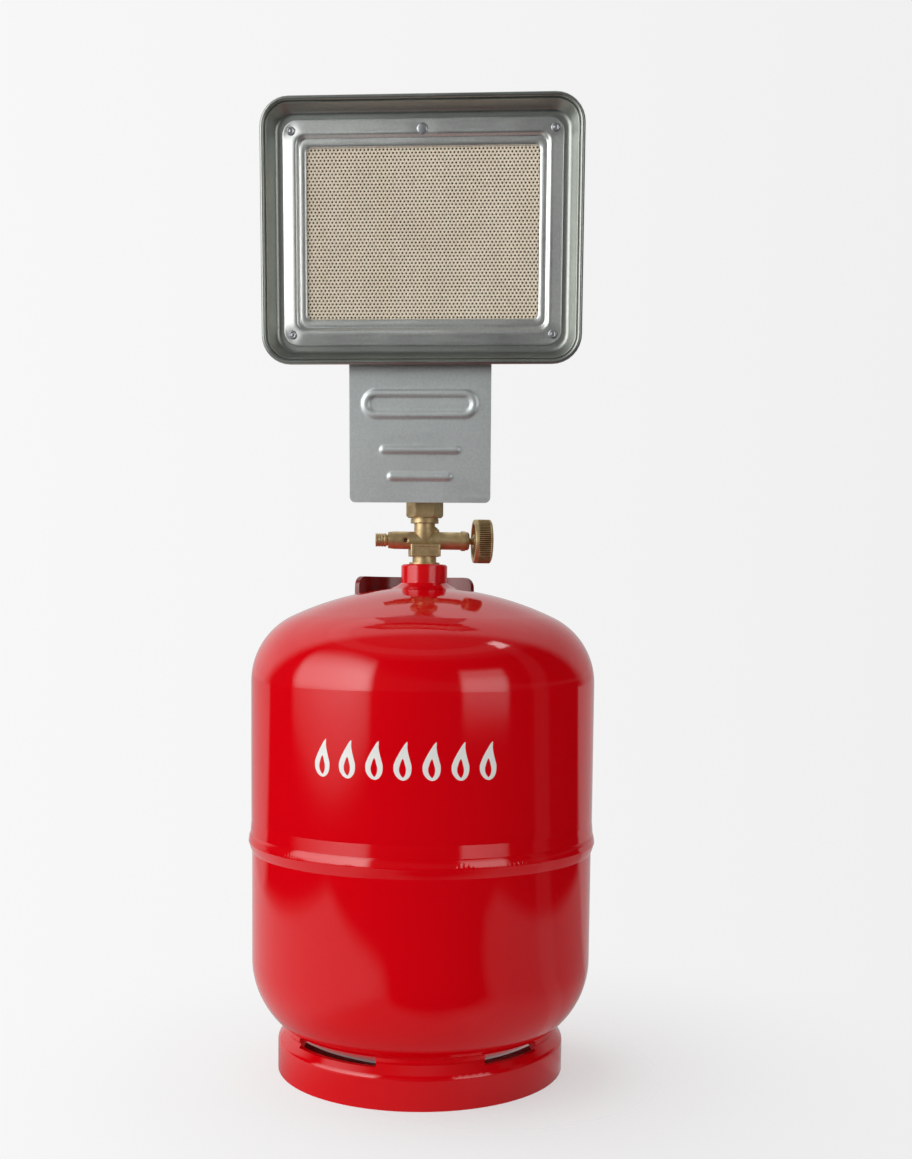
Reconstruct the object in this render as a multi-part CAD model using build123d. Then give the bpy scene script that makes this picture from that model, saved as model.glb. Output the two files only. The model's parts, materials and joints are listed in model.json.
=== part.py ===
"""Portable propane heater: a small steel gas cylinder, its brass valve and an infrared burner head.

Millimetres, +Z up. The origin is the centre of the foot ring on the floor, and the burner faces -Y.
"""
from build123d import *
from math import acos, asin, atan2, cos, degrees, radians, sin, sqrt
import os

# ---------------------------------------------------------------- shared clearances
running_clearance = 0.05
cut_margin = 5.0

# ---------------------------------------------------------------- steel cylinder
cylinder_radius = 102.0
lower_step = 0.4
shell_wall = 2.5
crown_radius = 180.0
top_knuckle = 43.0
bottom_knuckle = 50.0
ground_clearance = 6.8
lower_wall = 71.5
upper_wall = 94.0
rim_bell = 0.6
rim_bell_height = 12.0
joggle_drop = 6.5
joggle_slope = 4.0
joggle_overlap = 9.0
weld_crown = 1.0
weld_lap = 4.0

# ---------------------------------------------------------------- foot ring
foot_setback = 16.0
foot_wall = 2.5
foot_bend_height = 18.5
foot_bend_radius = 5.0
shoulder_lean = 35.0
shoulder_reach = 14.0
slot_floor_rise = 4.3
long_slot_angle = 40.0
short_slot_angle = 27.5
long_slot_turn = -31.6
short_slot_turn = 45.6
foot_weld_size = 2.2

# ---------------------------------------------------------------- neck and guard
boss_radius = 13.7
boss_stand_out = 13.25
boss_length = 26.0
boss_edge = 0.9
neck_weld_rise = 2.25
neck_weld_width = 8.7
guard_radius = 45.0
guard_wall = 3.0
guard_angle = 102.0
guard_turn = 16.5
guard_rise = 6.45
guard_corner = 6.5
guard_weld_size = 2.2

# ---------------------------------------------------------------- valve body
valve_turn = 11.0
thread_radius = 9.0
thread_taper = 1 / 32
thread_length = 20.0
thread_run_out = 1.2
stem_radius = 7.1
stem_length = 3.7
block_width = 17.9
block_tall = 6.8
block_corner = 1.2
block_border = 1.3
block_recess = 0.4
arm_rise = 2.5
arm_radius = 5.2
left_arm_length = 21.6
left_arm_taper = 4.0
left_arm_end_radius = 4.8
right_arm_length = 21.8
riser_radius = 6.2
riser_round = 19.8
riser_foot_depth = 3.0
riser_straight_height = 5.2
collar_radius = 8.3
collar_rise = 10.2
collar_thickness = 2.4
outlet_radius = 7.9
outlet_length = 8.6

# ---------------------------------------------------------------- passages in the valve body
inlet_bore = 2.0
cross_bore = 1.2
outlet_bore = 2.2
outlet_bore_floor = 2.6
needle_seat = 4.0
spindle_bore = 3.1
gland_bore = 4.0
gland_bore_depth = 8.0
relief_seat = 5.0
relief_bore = 3.0
vent_setback = 9.9
vent_bore = 1.0
vent_countersink = 2.1
drilling_offset = 0.6
drilling_boss_start = 2.5
drilling_start = 2.8
drilling_bore = 1.1
drilling_boss_radius = 2.6
drilling_boss_end = 7.3
plug_radius = 1.7
plug_length = 3.0
plug_stand_out = 0.5

# ---------------------------------------------------------------- spindle, gland and handwheel
spindle_travel = 2.0
needle_slope = 0.6
land_gap = 0.4
groove_setback = 3.2
groove_width = 1.8
groove_depth = 1.35
stem_bore = 2.0
gland_gap = 0.8
gland_ring_radius = 5.85
gland_ring_width = 2.4
gland_nose_radius = 5.4
gland_nose_width = 2.3
gland_chamfer = 0.8
wheel_gap = 2.7
wheel_width = 10.6
wheel_radius = 13.0
wheel_crown = 0.5
wheel_band = 2.1
wheel_teeth = 66
tooth_depth = 0.55
wheel_rim = 2.4
wheel_cup_depth = 7.0
wheel_hub_wall = 2.2
wheel_screw_recess = 1.6
wheel_screw_head = 3.3
wheel_screw_shank = 1.2
wheel_screw_length = 7.0
screw_slot_width = 0.8
screw_slot_depth = 0.8

# ---------------------------------------------------------------- relief valve
poppet_length = 3.2
poppet_stem_radius = 1.4
poppet_stem_length = 3.0
relief_pad_radius = 2.1
relief_pad_thickness = 1.2
relief_gap = 0.85
relief_screw_hold = 6.4
relief_spring_radius = 2.2
relief_wire_radius = 0.4
relief_spring_turns = 5
relief_neck_radius = 3.3
relief_neck_length = 1.3
relief_head_radius = 3.9
relief_head_length = 6.1
relief_ridges = 3
relief_ridge_depth = 0.35
slot_width = 1.2
slot_depth = 1.5

# ---------------------------------------------------------------- union
washer_thickness = 1.2
washer_play = 0.3
tail_flange_thickness = 2.0
tail_flange_play = 0.5
tail_radius = 5.5
tail_bore = 2.5
tail_length = 19.8
thrust_ring_thickness = 0.7
nut_flats = 19.0
nut_gap = 0.8
nut_lip = 2.2
nut_chamfer = 1.1
nut_turn = 6.0
gauze_thickness = 0.6
jet_shank_radius = 3.0
jet_shank_length = 4.0
jet_flats = 8.0
jet_hex_height = 3.0
jet_nose_radius = 2.0
jet_nose_height = 2.5
jet_orifice = 0.5

# ---------------------------------------------------------------- mixing tube
tube_wall = 1.2
hub_lap = 5.8
hub_wall = 3.0
cage_radius = 11.0
cage_rise = 1.0
cage_tall = 17.0
throat_radius = 6.6
throat_rise = 11.0
throat_length = 4.0
tube_radius = 7.5
tube_widening = 36.0
tube_entry = 8.0
air_port_radius = 4.2
air_port_rise = 8.5

# ---------------------------------------------------------------- burner head
head_front = 37.0
head_rise = 126.8
head_tilt = 3.3
sheet = 0.8
plaque_width = 137.0
plaque_tall = 101.5
plaque_thickness = 12.0
plaque_corner = 1.5
window_lap_side = 2.7
window_lap_end = 3.75
window_corner = 3.0
window_drop = 1.4
lip_run_side = 4.6
lip_run_end = 6.0
lip_corner = 5.0
lip_lap = 0.4
gasket_width = 1.5
gasket_lead = 0.5
pan_sheet = 1.0
pan_front_corner = 5.0
pan_ledge = 8.0
pan_rear_corner = 10.0
pan_rear_depth = 20.0
pan_draft = 2.5
flange_setback = 0.4
rivet_shank = 1.6
rivet_head = 2.4
rivet_head_height = 0.9
rivet_gap_side = 1.0
rivet_gap_end = 0.25
frame_border_side = 5.0
frame_border_end = 6.3
frame_corner = 8.0
frame_edge = 0.5
frame_step = 0.5
dish_depth = 8.4
dish_margin = 1.75
dish_floor_corner = 9.0
dish_hole_margin = 0.2
dish_wall_run_side = 9.85
dish_wall_run_end = 9.3
head_corner = 16.5
bead_radius = 1.35
top_screw_shank = 1.5
top_screw_head = 3.3
top_screw_head_height = 1.4
top_nut_flats = 5.5
top_nut_height = 2.4
top_nut_gap = 0.2
baffle_margin_side = 7.0
baffle_margin_end = 11.25
baffle_corner = 5.0
baffle_setback = 7.0
baffle_holes_across = 6
baffle_holes_up = 3
baffle_pitch = 18.0
baffle_hole_radius = 3.5
baffle_leg_radius = 1.5
baffle_leg_inset = 5.0

# ---------------------------------------------------------------- shield plate
shield_width = 82.0
shield_tall = 97.4
shield_sheet = 1.0
shield_corner = 3.3
shield_arm_tall = 8.2
shield_arm_corner = 3.0
swage_height = 1.1
swage_width = 5.0
loop_rise = 56.2
loop_length = 68.0
loop_tall = 17.0
upper_bar_rise = 30.2
upper_bar_length = 47.0
lower_bar_rise = 14.9
lower_bar_length = 38.0


# ---------------------------------------------------------------- heights, stacked from the floor
def dome_depth(radius, knuckle):
    """Height of a dome from its tangent line to the middle of its crown."""
    return crown_radius - sqrt((crown_radius - knuckle) ** 2 - (radius - knuckle) ** 2)


lower_radius = cylinder_radius - lower_step
bottom_tangent_height = ground_clearance + dome_depth(lower_radius, bottom_knuckle)
seam_height = bottom_tangent_height + lower_wall
top_tangent_height = seam_height + upper_wall
apex_height = top_tangent_height + dome_depth(cylinder_radius, top_knuckle)
slot_floor_height = foot_bend_height + slot_floor_rise
neck_weld_top = apex_height + neck_weld_rise
guard_top_height = apex_height + guard_rise
boss_top_height = apex_height + boss_stand_out
thread_bottom_height = boss_top_height - thread_length
block_bottom_height = boss_top_height + thread_run_out + stem_length
block_top_height = block_bottom_height + block_tall
arm_height = block_top_height + arm_rise
collar_height = arm_height + collar_rise
collar_top_height = collar_height + collar_thickness
outlet_top_height = collar_top_height + outlet_length
flange_bottom_height = outlet_top_height + washer_thickness
flange_top_height = flange_bottom_height + tail_flange_thickness
nut_bottom_height = collar_top_height + nut_gap
nut_lip_height = flange_top_height + thrust_ring_thickness
nut_top_height = nut_lip_height + nut_lip
tail_top_height = flange_top_height + tail_length
tube_hub_height = tail_top_height - hub_lap
cage_bottom_height = tail_top_height + cage_rise
cage_top_height = cage_bottom_height + cage_tall
air_port_height = cage_bottom_height + air_port_rise
throat_height = cage_top_height + throat_rise
tube_widen_height = throat_height + throat_length + tube_widening
head_height = tail_top_height + head_rise

# ---------------------------------------------------------------- other sizes that follow from those above
foot_radius = cylinder_radius - foot_setback
joggle_radius = cylinder_radius - shell_wall
joggle_base = seam_height - joggle_drop
bell_radius = cylinder_radius + rim_bell
neck_weld_radius = boss_radius + neck_weld_width
gland_bore_start = right_arm_length - gland_bore_depth
gland_inner_end = gland_bore_start + gland_gap
gland_nose_start = right_arm_length + gland_ring_width
gland_nose_end = gland_nose_start + gland_nose_width
land_end = gland_inner_end - spindle_travel - land_gap
groove_place = land_end - groove_setback
groove_radius = spindle_bore - running_clearance - groove_depth
wheel_place = gland_nose_end + wheel_gap
wheel_end = wheel_place + wheel_width
web_outer = wheel_end - wheel_screw_recess
relief_screw_place = left_arm_length - relief_screw_hold
washer_radius = outlet_radius - washer_play
tail_flange_radius = outlet_radius - tail_flange_play

pan_front_width = plaque_width + 2 * gasket_width
pan_front_tall = plaque_tall + 2 * gasket_width
pan_rear_width = pan_front_width - 2 * pan_ledge
pan_rear_tall = pan_front_tall - 2 * pan_ledge
window_width = plaque_width - 2 * window_lap_side
window_tall = plaque_tall - 2 * window_lap_end
lip_width = window_width + 2 * lip_run_side
lip_tall = window_tall + 2 * lip_run_end
rivet_span = pan_front_width + 2 * (pan_sheet + rivet_head + rivet_gap_side)
rivet_rise = pan_front_tall + 2 * (pan_sheet + rivet_head + rivet_gap_end)
frame_width = rivet_span + 2 * frame_border_side
frame_tall = rivet_rise + 2 * frame_border_end
pan_flange_width = frame_width - 2 * flange_setback
pan_flange_tall = frame_tall - 2 * flange_setback
dish_floor_width = frame_width + 2 * dish_margin
dish_floor_tall = frame_tall + 2 * dish_margin
dish_hole_width = lip_width + 2 * (lip_lap + dish_hole_margin)
dish_hole_tall = lip_tall + 2 * (lip_lap + dish_hole_margin)
head_width = dish_floor_width + 2 * dish_wall_run_side
head_tall = dish_floor_tall + 2 * dish_wall_run_end
top_screw_rise = pan_front_tall / 2 + pan_sheet + top_nut_flats / 2 + top_nut_gap
baffle_width = pan_rear_width - 2 * baffle_margin_side
baffle_tall = pan_rear_tall - 2 * baffle_margin_end
rivet_places = [(x, z) for x in (-rivet_span / 2, rivet_span / 2) for z in (-rivet_rise / 2, rivet_rise / 2)]
lower_rivets = [place for place in rivet_places if place[1] < 0]
upper_rivets = [place for place in rivet_places if place[1] > 0]

frame_front = dish_depth - sheet
dish_back = dish_depth + sheet
pan_back_of_flange = dish_back + pan_sheet
shield_back = pan_back_of_flange + shield_sheet
plaque_front = frame_front + frame_step + window_drop + sheet
plaque_back = plaque_front + plaque_thickness
pan_back = plaque_back + pan_rear_depth
shield_top = pan_front_tall / 2 + pan_sheet + running_clearance
shield_bottom = shield_top + shield_tall


# ---------------------------------------------------------------- shape helpers
def turned(*edges):
    """Solid of revolution about Z of a closed outline, drawn as radius and height."""
    return revolve(Plane.XZ * make_face(Curve() + list(edges)), Axis.Z)


def turned_ring(*points):
    return turned(Polyline(*points, close=True))


def turned_along(*points):
    """Solid of revolution about X of a closed outline, drawn as distance along X and radius."""
    return revolve(make_face(Polyline(*points, close=True)), Axis.X)


def rod(start, end, radius):
    """Round bar along X."""
    return turned_along((start, 0), (end, 0), (end, radius), (start, radius))


def post(bottom, top, radius):
    """Round bar along Z."""
    return turned_ring((0, bottom), (radius, bottom), (radius, top), (0, top))


def at_depth(depth):
    """Plane parallel to the burner face, with its outline seen from the front."""
    return Plane.XZ.offset(-depth)


def slab(width, tall, corner, front, back):
    """Rounded rectangular plate of the head, from one depth behind the rim to another."""
    return extrude(at_depth(front) * RectangleRounded(width, tall, corner), amount=front - back)


def tapered(front_size, front, back_size, back):
    """Loft between two rounded rectangles, each given as width, height and corner radius."""
    return loft([at_depth(front) * RectangleRounded(*front_size), at_depth(back) * RectangleRounded(*back_size)])


def pin(place, front, back, radius):
    """Round bar of the head, along its depth."""
    return extrude(at_depth(front) * Pos(*place) * Circle(radius), amount=front - back)


def pins(places, front, back, radius):
    return [pin(place, front, back, radius) for place in places]


def in_head(shape):
    """Moves a piece drawn square to the burner face to its place on the heater."""
    return Pos(0, -head_front, head_height) * Rot(head_tilt, 0, 0) * shape


def in_valve(shape):
    """Moves a piece drawn with the valve arm along X to its place on the heater."""
    return Pos(0, 0, arm_height) * Rot(0, 0, valve_turn) * shape


# ---------------------------------------------------------------- cylinder
def dome(radius, base, tangent, knuckle, crown):
    """Filled dome: a straight wall from base to tangent, then the knuckle and crown arcs."""
    run = radius - knuckle
    reach = crown - knuckle
    crown_centre = tangent - sqrt(reach**2 - run**2)
    lean = degrees(acos(run / reach))
    return turned(
        Line((0, base), (radius, base)),
        Line((radius, base), (radius, tangent)),
        CenterArc((run, tangent), knuckle, 0, lean),
        CenterArc((0, crown_centre), crown, lean, 90 - lean),
        Line((0, crown_centre + crown), (0, base)),
    )


def upper_dome(inset=0.0, base=seam_height):
    return dome(cylinder_radius - inset, base, top_tangent_height, top_knuckle - inset, crown_radius - inset)


def lower_dome(inset=0.0, base=-joggle_base):
    upside_down = dome(
        lower_radius - inset, base, -bottom_tangent_height, bottom_knuckle - inset, crown_radius - inset
    )
    return mirror(upside_down, about=Plane.XY)


def upper_shell():
    bell = turned_ring(
        (joggle_radius, seam_height),
        (bell_radius, seam_height),
        (bell_radius, seam_height + weld_lap),
        (cylinder_radius, seam_height + rim_bell_height),
        (joggle_radius, seam_height + rim_bell_height),
    )
    hollow = upper_dome(shell_wall, seam_height - cut_margin)
    return upper_dome() + bell - hollow - post(top_tangent_height, boss_top_height, boss_radius)


def lower_shell():
    joggle = turned_ring(
        (lower_radius - shell_wall, joggle_base),
        (lower_radius, joggle_base),
        (joggle_radius, joggle_base + joggle_slope),
        (joggle_radius, seam_height + joggle_overlap),
        (joggle_radius - shell_wall, seam_height + joggle_overlap),
        (joggle_radius - shell_wall, joggle_base + joggle_slope),
    )
    return lower_dome() - lower_dome(shell_wall, -joggle_base - cut_margin) + joggle


def girth_weld():
    lap_height = seam_height + weld_lap
    crest = (bell_radius + weld_crown, (joggle_base + lap_height) / 2)
    return turned(
        Polyline(
            (lower_radius, joggle_base),
            (joggle_radius, joggle_base + joggle_slope),
            (joggle_radius, seam_height),
            (bell_radius, seam_height),
            (bell_radius, lap_height),
        ),
        ThreePointArc((bell_radius, lap_height), crest, (lower_radius, joggle_base)),
    )


def foot_section(radius, bend_height, bend_radius, reach):
    """Outline of the foot ring's wall: upright, then leaning in towards the dome."""
    lean = radians(shoulder_lean)
    end = (radius - reach * sin(lean), bend_height + reach * cos(lean))
    return FilletPolyline((radius, 0), (radius, bend_height), end, radius=bend_radius)


def foot_slot(middle, width):
    """Cutter for one notch in the ring's shoulder, with rounded lower corners."""
    outer = foot_radius + cut_margin
    block = Pos(0, 0, slot_floor_height) * Box(
        2 * outer, outer, shoulder_reach, align=(Align.CENTER, Align.MAX, Align.MIN)
    )
    for side in (-1, 1):
        edge = Rot(0, 0, side * width / 2) * Pos(0, 0, slot_floor_height)
        keep = edge * Box(
            2 * outer, 2 * outer, shoulder_reach,
            align=(Align.MIN if side > 0 else Align.MAX, Align.CENTER, Align.MIN),
        )
        block -= keep
    return Rot(0, 0, middle) * block


def foot_slots():
    """Two long and two short notches, each pair on opposite sides."""
    slots = []
    for half_turn in (0, 180):
        slots.append(foot_slot(long_slot_turn + half_turn, long_slot_angle))
        slots.append(foot_slot(short_slot_turn + half_turn, short_slot_angle))
    return slots


def foot_wall_ring():
    """The ring before its notches are cut and before it is fitted to the dome."""
    lean = radians(shoulder_lean)
    outer = foot_section(foot_radius, foot_bend_height, foot_bend_radius, shoulder_reach)
    inner_bend = foot_bend_height - foot_wall * (1 - cos(lean)) / sin(lean)
    inner = foot_section(foot_radius - foot_wall, inner_bend, foot_bend_radius - foot_wall, shoulder_reach)
    return turned(outer, Line(outer @ 1, inner @ 1), inner, Line(inner @ 0, outer @ 0))


def notched(ring):
    for slot in foot_slots():
        ring -= slot
    return ring


def foot_ring():
    return notched(foot_wall_ring() - lower_dome())


def foot_crease():
    """Radius and height at which the ring's shoulder meets the dome."""
    lean = radians(shoulder_lean)
    across = foot_radius - (lower_radius - bottom_knuckle)
    down = foot_bend_height - bottom_tangent_height
    along = -across * sin(lean) + down * cos(lean)
    reach = -along - sqrt(along**2 - across**2 - down**2 + bottom_knuckle**2)
    return foot_radius - reach * sin(lean), foot_bend_height + reach * cos(lean)


def foot_welds():
    """Fillet weld in the crease between the dome and each stretch of shoulder left between the notches."""
    radius, height = foot_crease()
    size = foot_weld_size
    bead = turned_ring(
        (radius - size, height),
        (radius + 0.5 * size, height - size),
        (radius + 1.1 * size, height - 0.1 * size),
        (radius + size, height + size),
    )
    return notched(bead - lower_dome() - foot_wall_ring())


def neck_boss():
    bottom = boss_top_height - boss_length
    bore_bottom = thread_radius - boss_length * thread_taper
    return turned_ring(
        (bore_bottom, bottom),
        (boss_radius, bottom),
        (boss_radius, boss_top_height - boss_edge),
        (boss_radius - boss_edge, boss_top_height),
        (thread_radius, boss_top_height),
    )


def crown_height(radius):
    """Height of the upper dome's surface above the floor, at a radius from the axis."""
    return apex_height - crown_radius + sqrt(crown_radius**2 - radius**2)


def neck_weld():
    """Fillet weld that flares from the boss and runs out on the crown."""
    toe = (neck_weld_radius, crown_height(neck_weld_radius))
    slope = asin(neck_weld_radius / crown_radius)
    middle = (boss_radius + neck_weld_radius) / 2
    return turned(
        TangentArc(toe, (boss_radius, neck_weld_top), tangent=(-cos(slope), sin(slope))),
        Line((boss_radius, neck_weld_top), (boss_radius, crown_height(boss_radius))),
        ThreePointArc((boss_radius, crown_height(boss_radius)), (middle, crown_height(middle)), toe),
    )


def guard_sector(ring):
    """Keeps the part of a ring that the guard spans, then turns it to its place behind the valve."""
    size = 4 * guard_radius
    back_half = Box(size, size, size, align=(Align.CENTER, Align.MIN, Align.CENTER))
    ring &= Pos(0, 0, guard_top_height) * back_half
    for side, align in ((-1, Align.MIN), (1, Align.MAX)):
        beyond = Box(size, size, size, align=(align, Align.CENTER, Align.CENTER))
        ring -= Pos(0, 0, guard_top_height) * Rot(0, 0, side * guard_angle / 2) * beyond
    return ring


def rear_guard():
    """Curved sheet standing on the crown behind the valve, with rounded upper corners."""
    sheet_ring = guard_sector(turned_ring(
        (guard_radius, top_tangent_height),
        (guard_radius + guard_wall, top_tangent_height),
        (guard_radius + guard_wall, guard_top_height),
        (guard_radius, guard_top_height),
    ))
    top_corners = sheet_ring.edges().filter_by(GeomType.LINE).group_by(Axis.Z)[-1]
    rounded = fillet(top_corners, guard_corner)
    return Rot(0, 0, guard_turn) * (rounded - upper_dome())


def guard_weld():
    """Fillet weld along the outer foot of the guard."""
    radius = guard_radius + guard_wall
    height = crown_height(radius)
    bead = turned_ring(
        (radius, height + guard_weld_size),
        (radius + 0.6 * guard_weld_size, height + 0.4 * guard_weld_size),
        (radius + guard_weld_size, height - guard_weld_size),
        (radius, height - guard_weld_size),
    )
    return Rot(0, 0, guard_turn) * (guard_sector(bead) - upper_dome())


# ---------------------------------------------------------------- valve body
def riser():
    """Round riser whose rounded foot runs out as a point on the front of the arm."""
    foot = -riser_foot_depth
    straight = riser_straight_height
    drop = straight - foot
    round_centre = riser_radius - riser_round
    reach = sqrt(riser_round**2 - drop**2)
    sweep_angle = degrees(atan2(drop, reach))
    collar_top = collar_rise + collar_thickness
    outlet_top = collar_top + outlet_length
    seam_at_back = Rot(0, 0, 90)
    return seam_at_back * turned(
        Line((0, foot), (round_centre + reach, foot)),
        CenterArc((round_centre, straight), riser_round, -sweep_angle, sweep_angle),
        Polyline(
            (riser_radius, straight),
            (riser_radius, collar_rise),
            (collar_radius, collar_rise),
            (collar_radius, collar_top),
            (outlet_radius, collar_top),
            (outlet_radius, outlet_top),
            (0, outlet_top),
            (0, foot),
        ),
    )


def screw_in_stem():
    """Taper-threaded foot of the valve and the plain stem above it."""
    bottom = thread_bottom_height - arm_height
    shoulder = boss_top_height + thread_run_out - arm_height
    top = block_top_height - arm_height
    bottom_radius = thread_radius - thread_length * thread_taper
    shoulder_radius = thread_radius + thread_run_out * thread_taper
    return turned_ring(
        (0, bottom), (bottom_radius, bottom), (shoulder_radius, shoulder), (stem_radius, shoulder),
        (stem_radius, top), (0, top),
    )


def wrench_block():
    """Square spanner block with a raised border round each face."""
    bottom = block_bottom_height - arm_height
    square = RectangleRounded(block_width, block_width, block_corner)
    block = Pos(0, 0, bottom) * extrude(square, amount=block_tall)
    panel_width = block_width - 2 * block_corner - block_border
    panel_tall = block_tall - 2 * block_border
    middle = bottom + block_tall / 2
    for quarter in range(4):
        panel = Pos(0, -block_width / 2, middle) * Box(panel_width, 2 * block_recess, panel_tall)
        block -= Rot(0, 0, 90 * quarter) * panel
    return block


def arms():
    taper_start = -left_arm_length + left_arm_taper
    return turned_along(
        (-left_arm_length, 0),
        (-left_arm_length, left_arm_end_radius),
        (taper_start, arm_radius),
        (right_arm_length, arm_radius),
        (right_arm_length, 0),
    )


def oblique(start, end, radius):
    """Round bar on the line of the slanting drilling, between two distances along X."""
    middle = Location((start, 0, start - drilling_offset), (0, 45, 0))
    return middle * extrude(Circle(radius), amount=(end - start) * sqrt(2))


def valve_body():
    body = screw_in_stem() + wrench_block() + arms() + riser()
    body += oblique(drilling_boss_start, drilling_boss_end, drilling_boss_radius)
    bottom = thread_bottom_height - arm_height
    top = outlet_top_height - arm_height
    body -= post(bottom, 0, inlet_bore)
    body -= post(outlet_bore_floor, top, outlet_bore)
    body -= rod(-relief_seat, needle_seat, cross_bore)
    body -= rod(needle_seat, gland_bore_start, spindle_bore)
    body -= rod(gland_bore_start, right_arm_length, gland_bore)
    body -= rod(-left_arm_length, -relief_seat, relief_bore)
    body -= oblique(drilling_start, drilling_boss_end, drilling_bore)
    body -= oblique(plug_inner_end(), drilling_boss_end, plug_radius)
    return body - vent_hole()


def vent_hole():
    """Cutter for the countersunk vent in the front of the left arm."""
    flare = vent_countersink - vent_bore
    drill = turned_ring(
        (0, 0),
        (vent_bore, 0),
        (vent_bore, arm_radius - flare),
        (vent_countersink + flare, arm_radius + flare),
        (0, arm_radius + flare),
    )
    return Pos(vent_setback - left_arm_length, 0, 0) * Rot(90, 0, 0) * drill


def plug_inner_end():
    return drilling_boss_end - (plug_length - plug_stand_out) / sqrt(2)


def passage_plug():
    return oblique(plug_inner_end(), plug_inner_end() + plug_length / sqrt(2), plug_radius)


# ---------------------------------------------------------------- spindle and handwheel
def spindle():
    """Needle, sealing land with its ring groove, and the stem that carries the handwheel."""
    land = spindle_bore - running_clearance
    tip = needle_seat - cross_bore / needle_slope
    shoulder = needle_seat + (land - cross_bore) / needle_slope
    groove_end = groove_place + groove_width
    blank = turned_along(
        (tip, 0),
        (shoulder, land),
        (groove_place, land),
        (groove_place, groove_radius),
        (groove_end, groove_radius),
        (groove_end, land),
        (land_end, land),
        (land_end, stem_bore),
        (web_outer, stem_bore),
        (web_outer, 0),
    )
    return blank - rod(web_outer - wheel_screw_length, web_outer, wheel_screw_shank)


def spindle_o_ring():
    room = spindle_bore - groove_radius
    section = room / 2 - running_clearance / 2
    middle = groove_place + groove_width / 2
    circle = Pos(middle, groove_radius + room / 2) * Circle(section)
    return revolve(circle, Axis.X)


def gland_nut():
    return turned_along(
        (gland_inner_end, stem_bore + running_clearance),
        (gland_inner_end, gland_bore),
        (right_arm_length, gland_bore),
        (right_arm_length, gland_ring_radius),
        (gland_nose_start, gland_ring_radius),
        (gland_nose_start, gland_nose_radius),
        (gland_nose_end - gland_chamfer, gland_nose_radius),
        (gland_nose_end, gland_nose_radius - gland_chamfer),
        (gland_nose_end, stem_bore + running_clearance),
    )


def handwheel():
    """Cup-shaped wheel, straight-knurled round its rim between two smooth bands."""
    tips = [Vector(0, wheel_radius).rotate(Axis.Z, 360 * step / wheel_teeth) for step in range(wheel_teeth)]
    root = wheel_radius - tooth_depth
    roots = [Vector(0, root).rotate(Axis.Z, 360 * (step + 0.5) / wheel_teeth) for step in range(wheel_teeth)]
    outline = [corner for pair in zip(tips, roots) for corner in pair]
    gear = extrude(Plane.YZ.offset(wheel_place) * make_face(Polyline(*outline, close=True)), amount=wheel_width)
    bands = rod(wheel_place, wheel_place + wheel_band, wheel_radius)
    bands += rod(wheel_end - wheel_band, wheel_end, wheel_radius)
    edge = wheel_radius - 2 * wheel_crown
    barrel = turned_along(
        (wheel_place, 0),
        (wheel_place, edge),
        (wheel_place + 2 * wheel_crown, wheel_radius),
        (wheel_end - 2 * wheel_crown, wheel_radius),
        (wheel_end, edge),
        (wheel_end, 0),
    )
    cup_end = wheel_place + wheel_cup_depth
    cup_radius = wheel_radius - wheel_rim
    hub_radius = stem_bore + wheel_hub_wall
    cup = turned_along(
        (wheel_place, hub_radius),
        (wheel_place, cup_radius),
        (cup_end, cup_radius - wheel_crown),
        (cup_end, hub_radius),
    )
    bore = rod(wheel_place, web_outer, stem_bore)
    recess = rod(web_outer, wheel_end, wheel_screw_head)
    return (barrel & (gear + bands)) - cup - bore - recess


def handwheel_screw():
    head = rod(web_outer, wheel_end, wheel_screw_head - running_clearance)
    slot = Pos(wheel_end, 0, 0) * Box(2 * screw_slot_depth, 2 * wheel_screw_head, screw_slot_width)
    return head + rod(web_outer - wheel_screw_length, web_outer, wheel_screw_shank) - slot


# ---------------------------------------------------------------- relief valve in the left arm
def relief_poppet():
    seat = -relief_seat
    back = seat - poppet_length
    radius = relief_bore - running_clearance
    return turned_along(
        (seat - relief_pad_thickness, 0),
        (seat - relief_pad_thickness, relief_pad_radius),
        (seat, relief_pad_radius),
        (seat, radius),
        (back, radius),
        (back, poppet_stem_radius),
        (back - poppet_stem_length, poppet_stem_radius),
        (back - poppet_stem_length, 0),
    )


def relief_pad():
    return rod(-relief_seat - relief_pad_thickness, -relief_seat, relief_pad_radius)


def relief_spring():
    start = -relief_seat - poppet_length - relief_wire_radius
    end = -relief_screw_place + relief_gap + relief_wire_radius
    length = start - end
    coil = Helix(length / relief_spring_turns, length, relief_spring_radius)
    wire = sweep(Plane(coil @ 0, z_dir=coil % 0) * Circle(relief_wire_radius), path=coil)
    return Pos(start, 0, 0) * Rot(0, -90, 0) * wire


def relief_screw():
    """Adjusting screw: a shank in the arm and a ridged head outside it, slotted across its end."""
    head_start = -left_arm_length - relief_neck_length
    head_end = head_start - relief_head_length
    screw = turned_along(
        (-relief_screw_place, 0),
        (-relief_screw_place, relief_bore),
        (-left_arm_length, relief_bore),
        (-left_arm_length, relief_neck_radius),
        (head_start, relief_neck_radius),
        (head_start, relief_head_radius),
        (head_end, relief_head_radius),
        (head_end, 0),
    )
    pitch = relief_head_length / (relief_ridges + 1)
    for ridge in range(relief_ridges):
        middle = head_start - pitch * (ridge + 1)
        inner = relief_head_radius - relief_ridge_depth
        half = pitch / 4
        screw -= turned_along(
            (middle - half, inner + relief_ridge_depth),
            (middle, inner),
            (middle + half, inner + relief_ridge_depth),
        )
    slot = Pos(head_end, 0, 0) * Box(2 * slot_depth, slot_width, 2 * relief_head_radius + cut_margin)
    return screw - slot


# ---------------------------------------------------------------- union
def union_washer():
    return post(outlet_top_height, flange_bottom_height, washer_radius) - post(
        outlet_top_height, flange_bottom_height, tail_bore
    )


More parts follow.
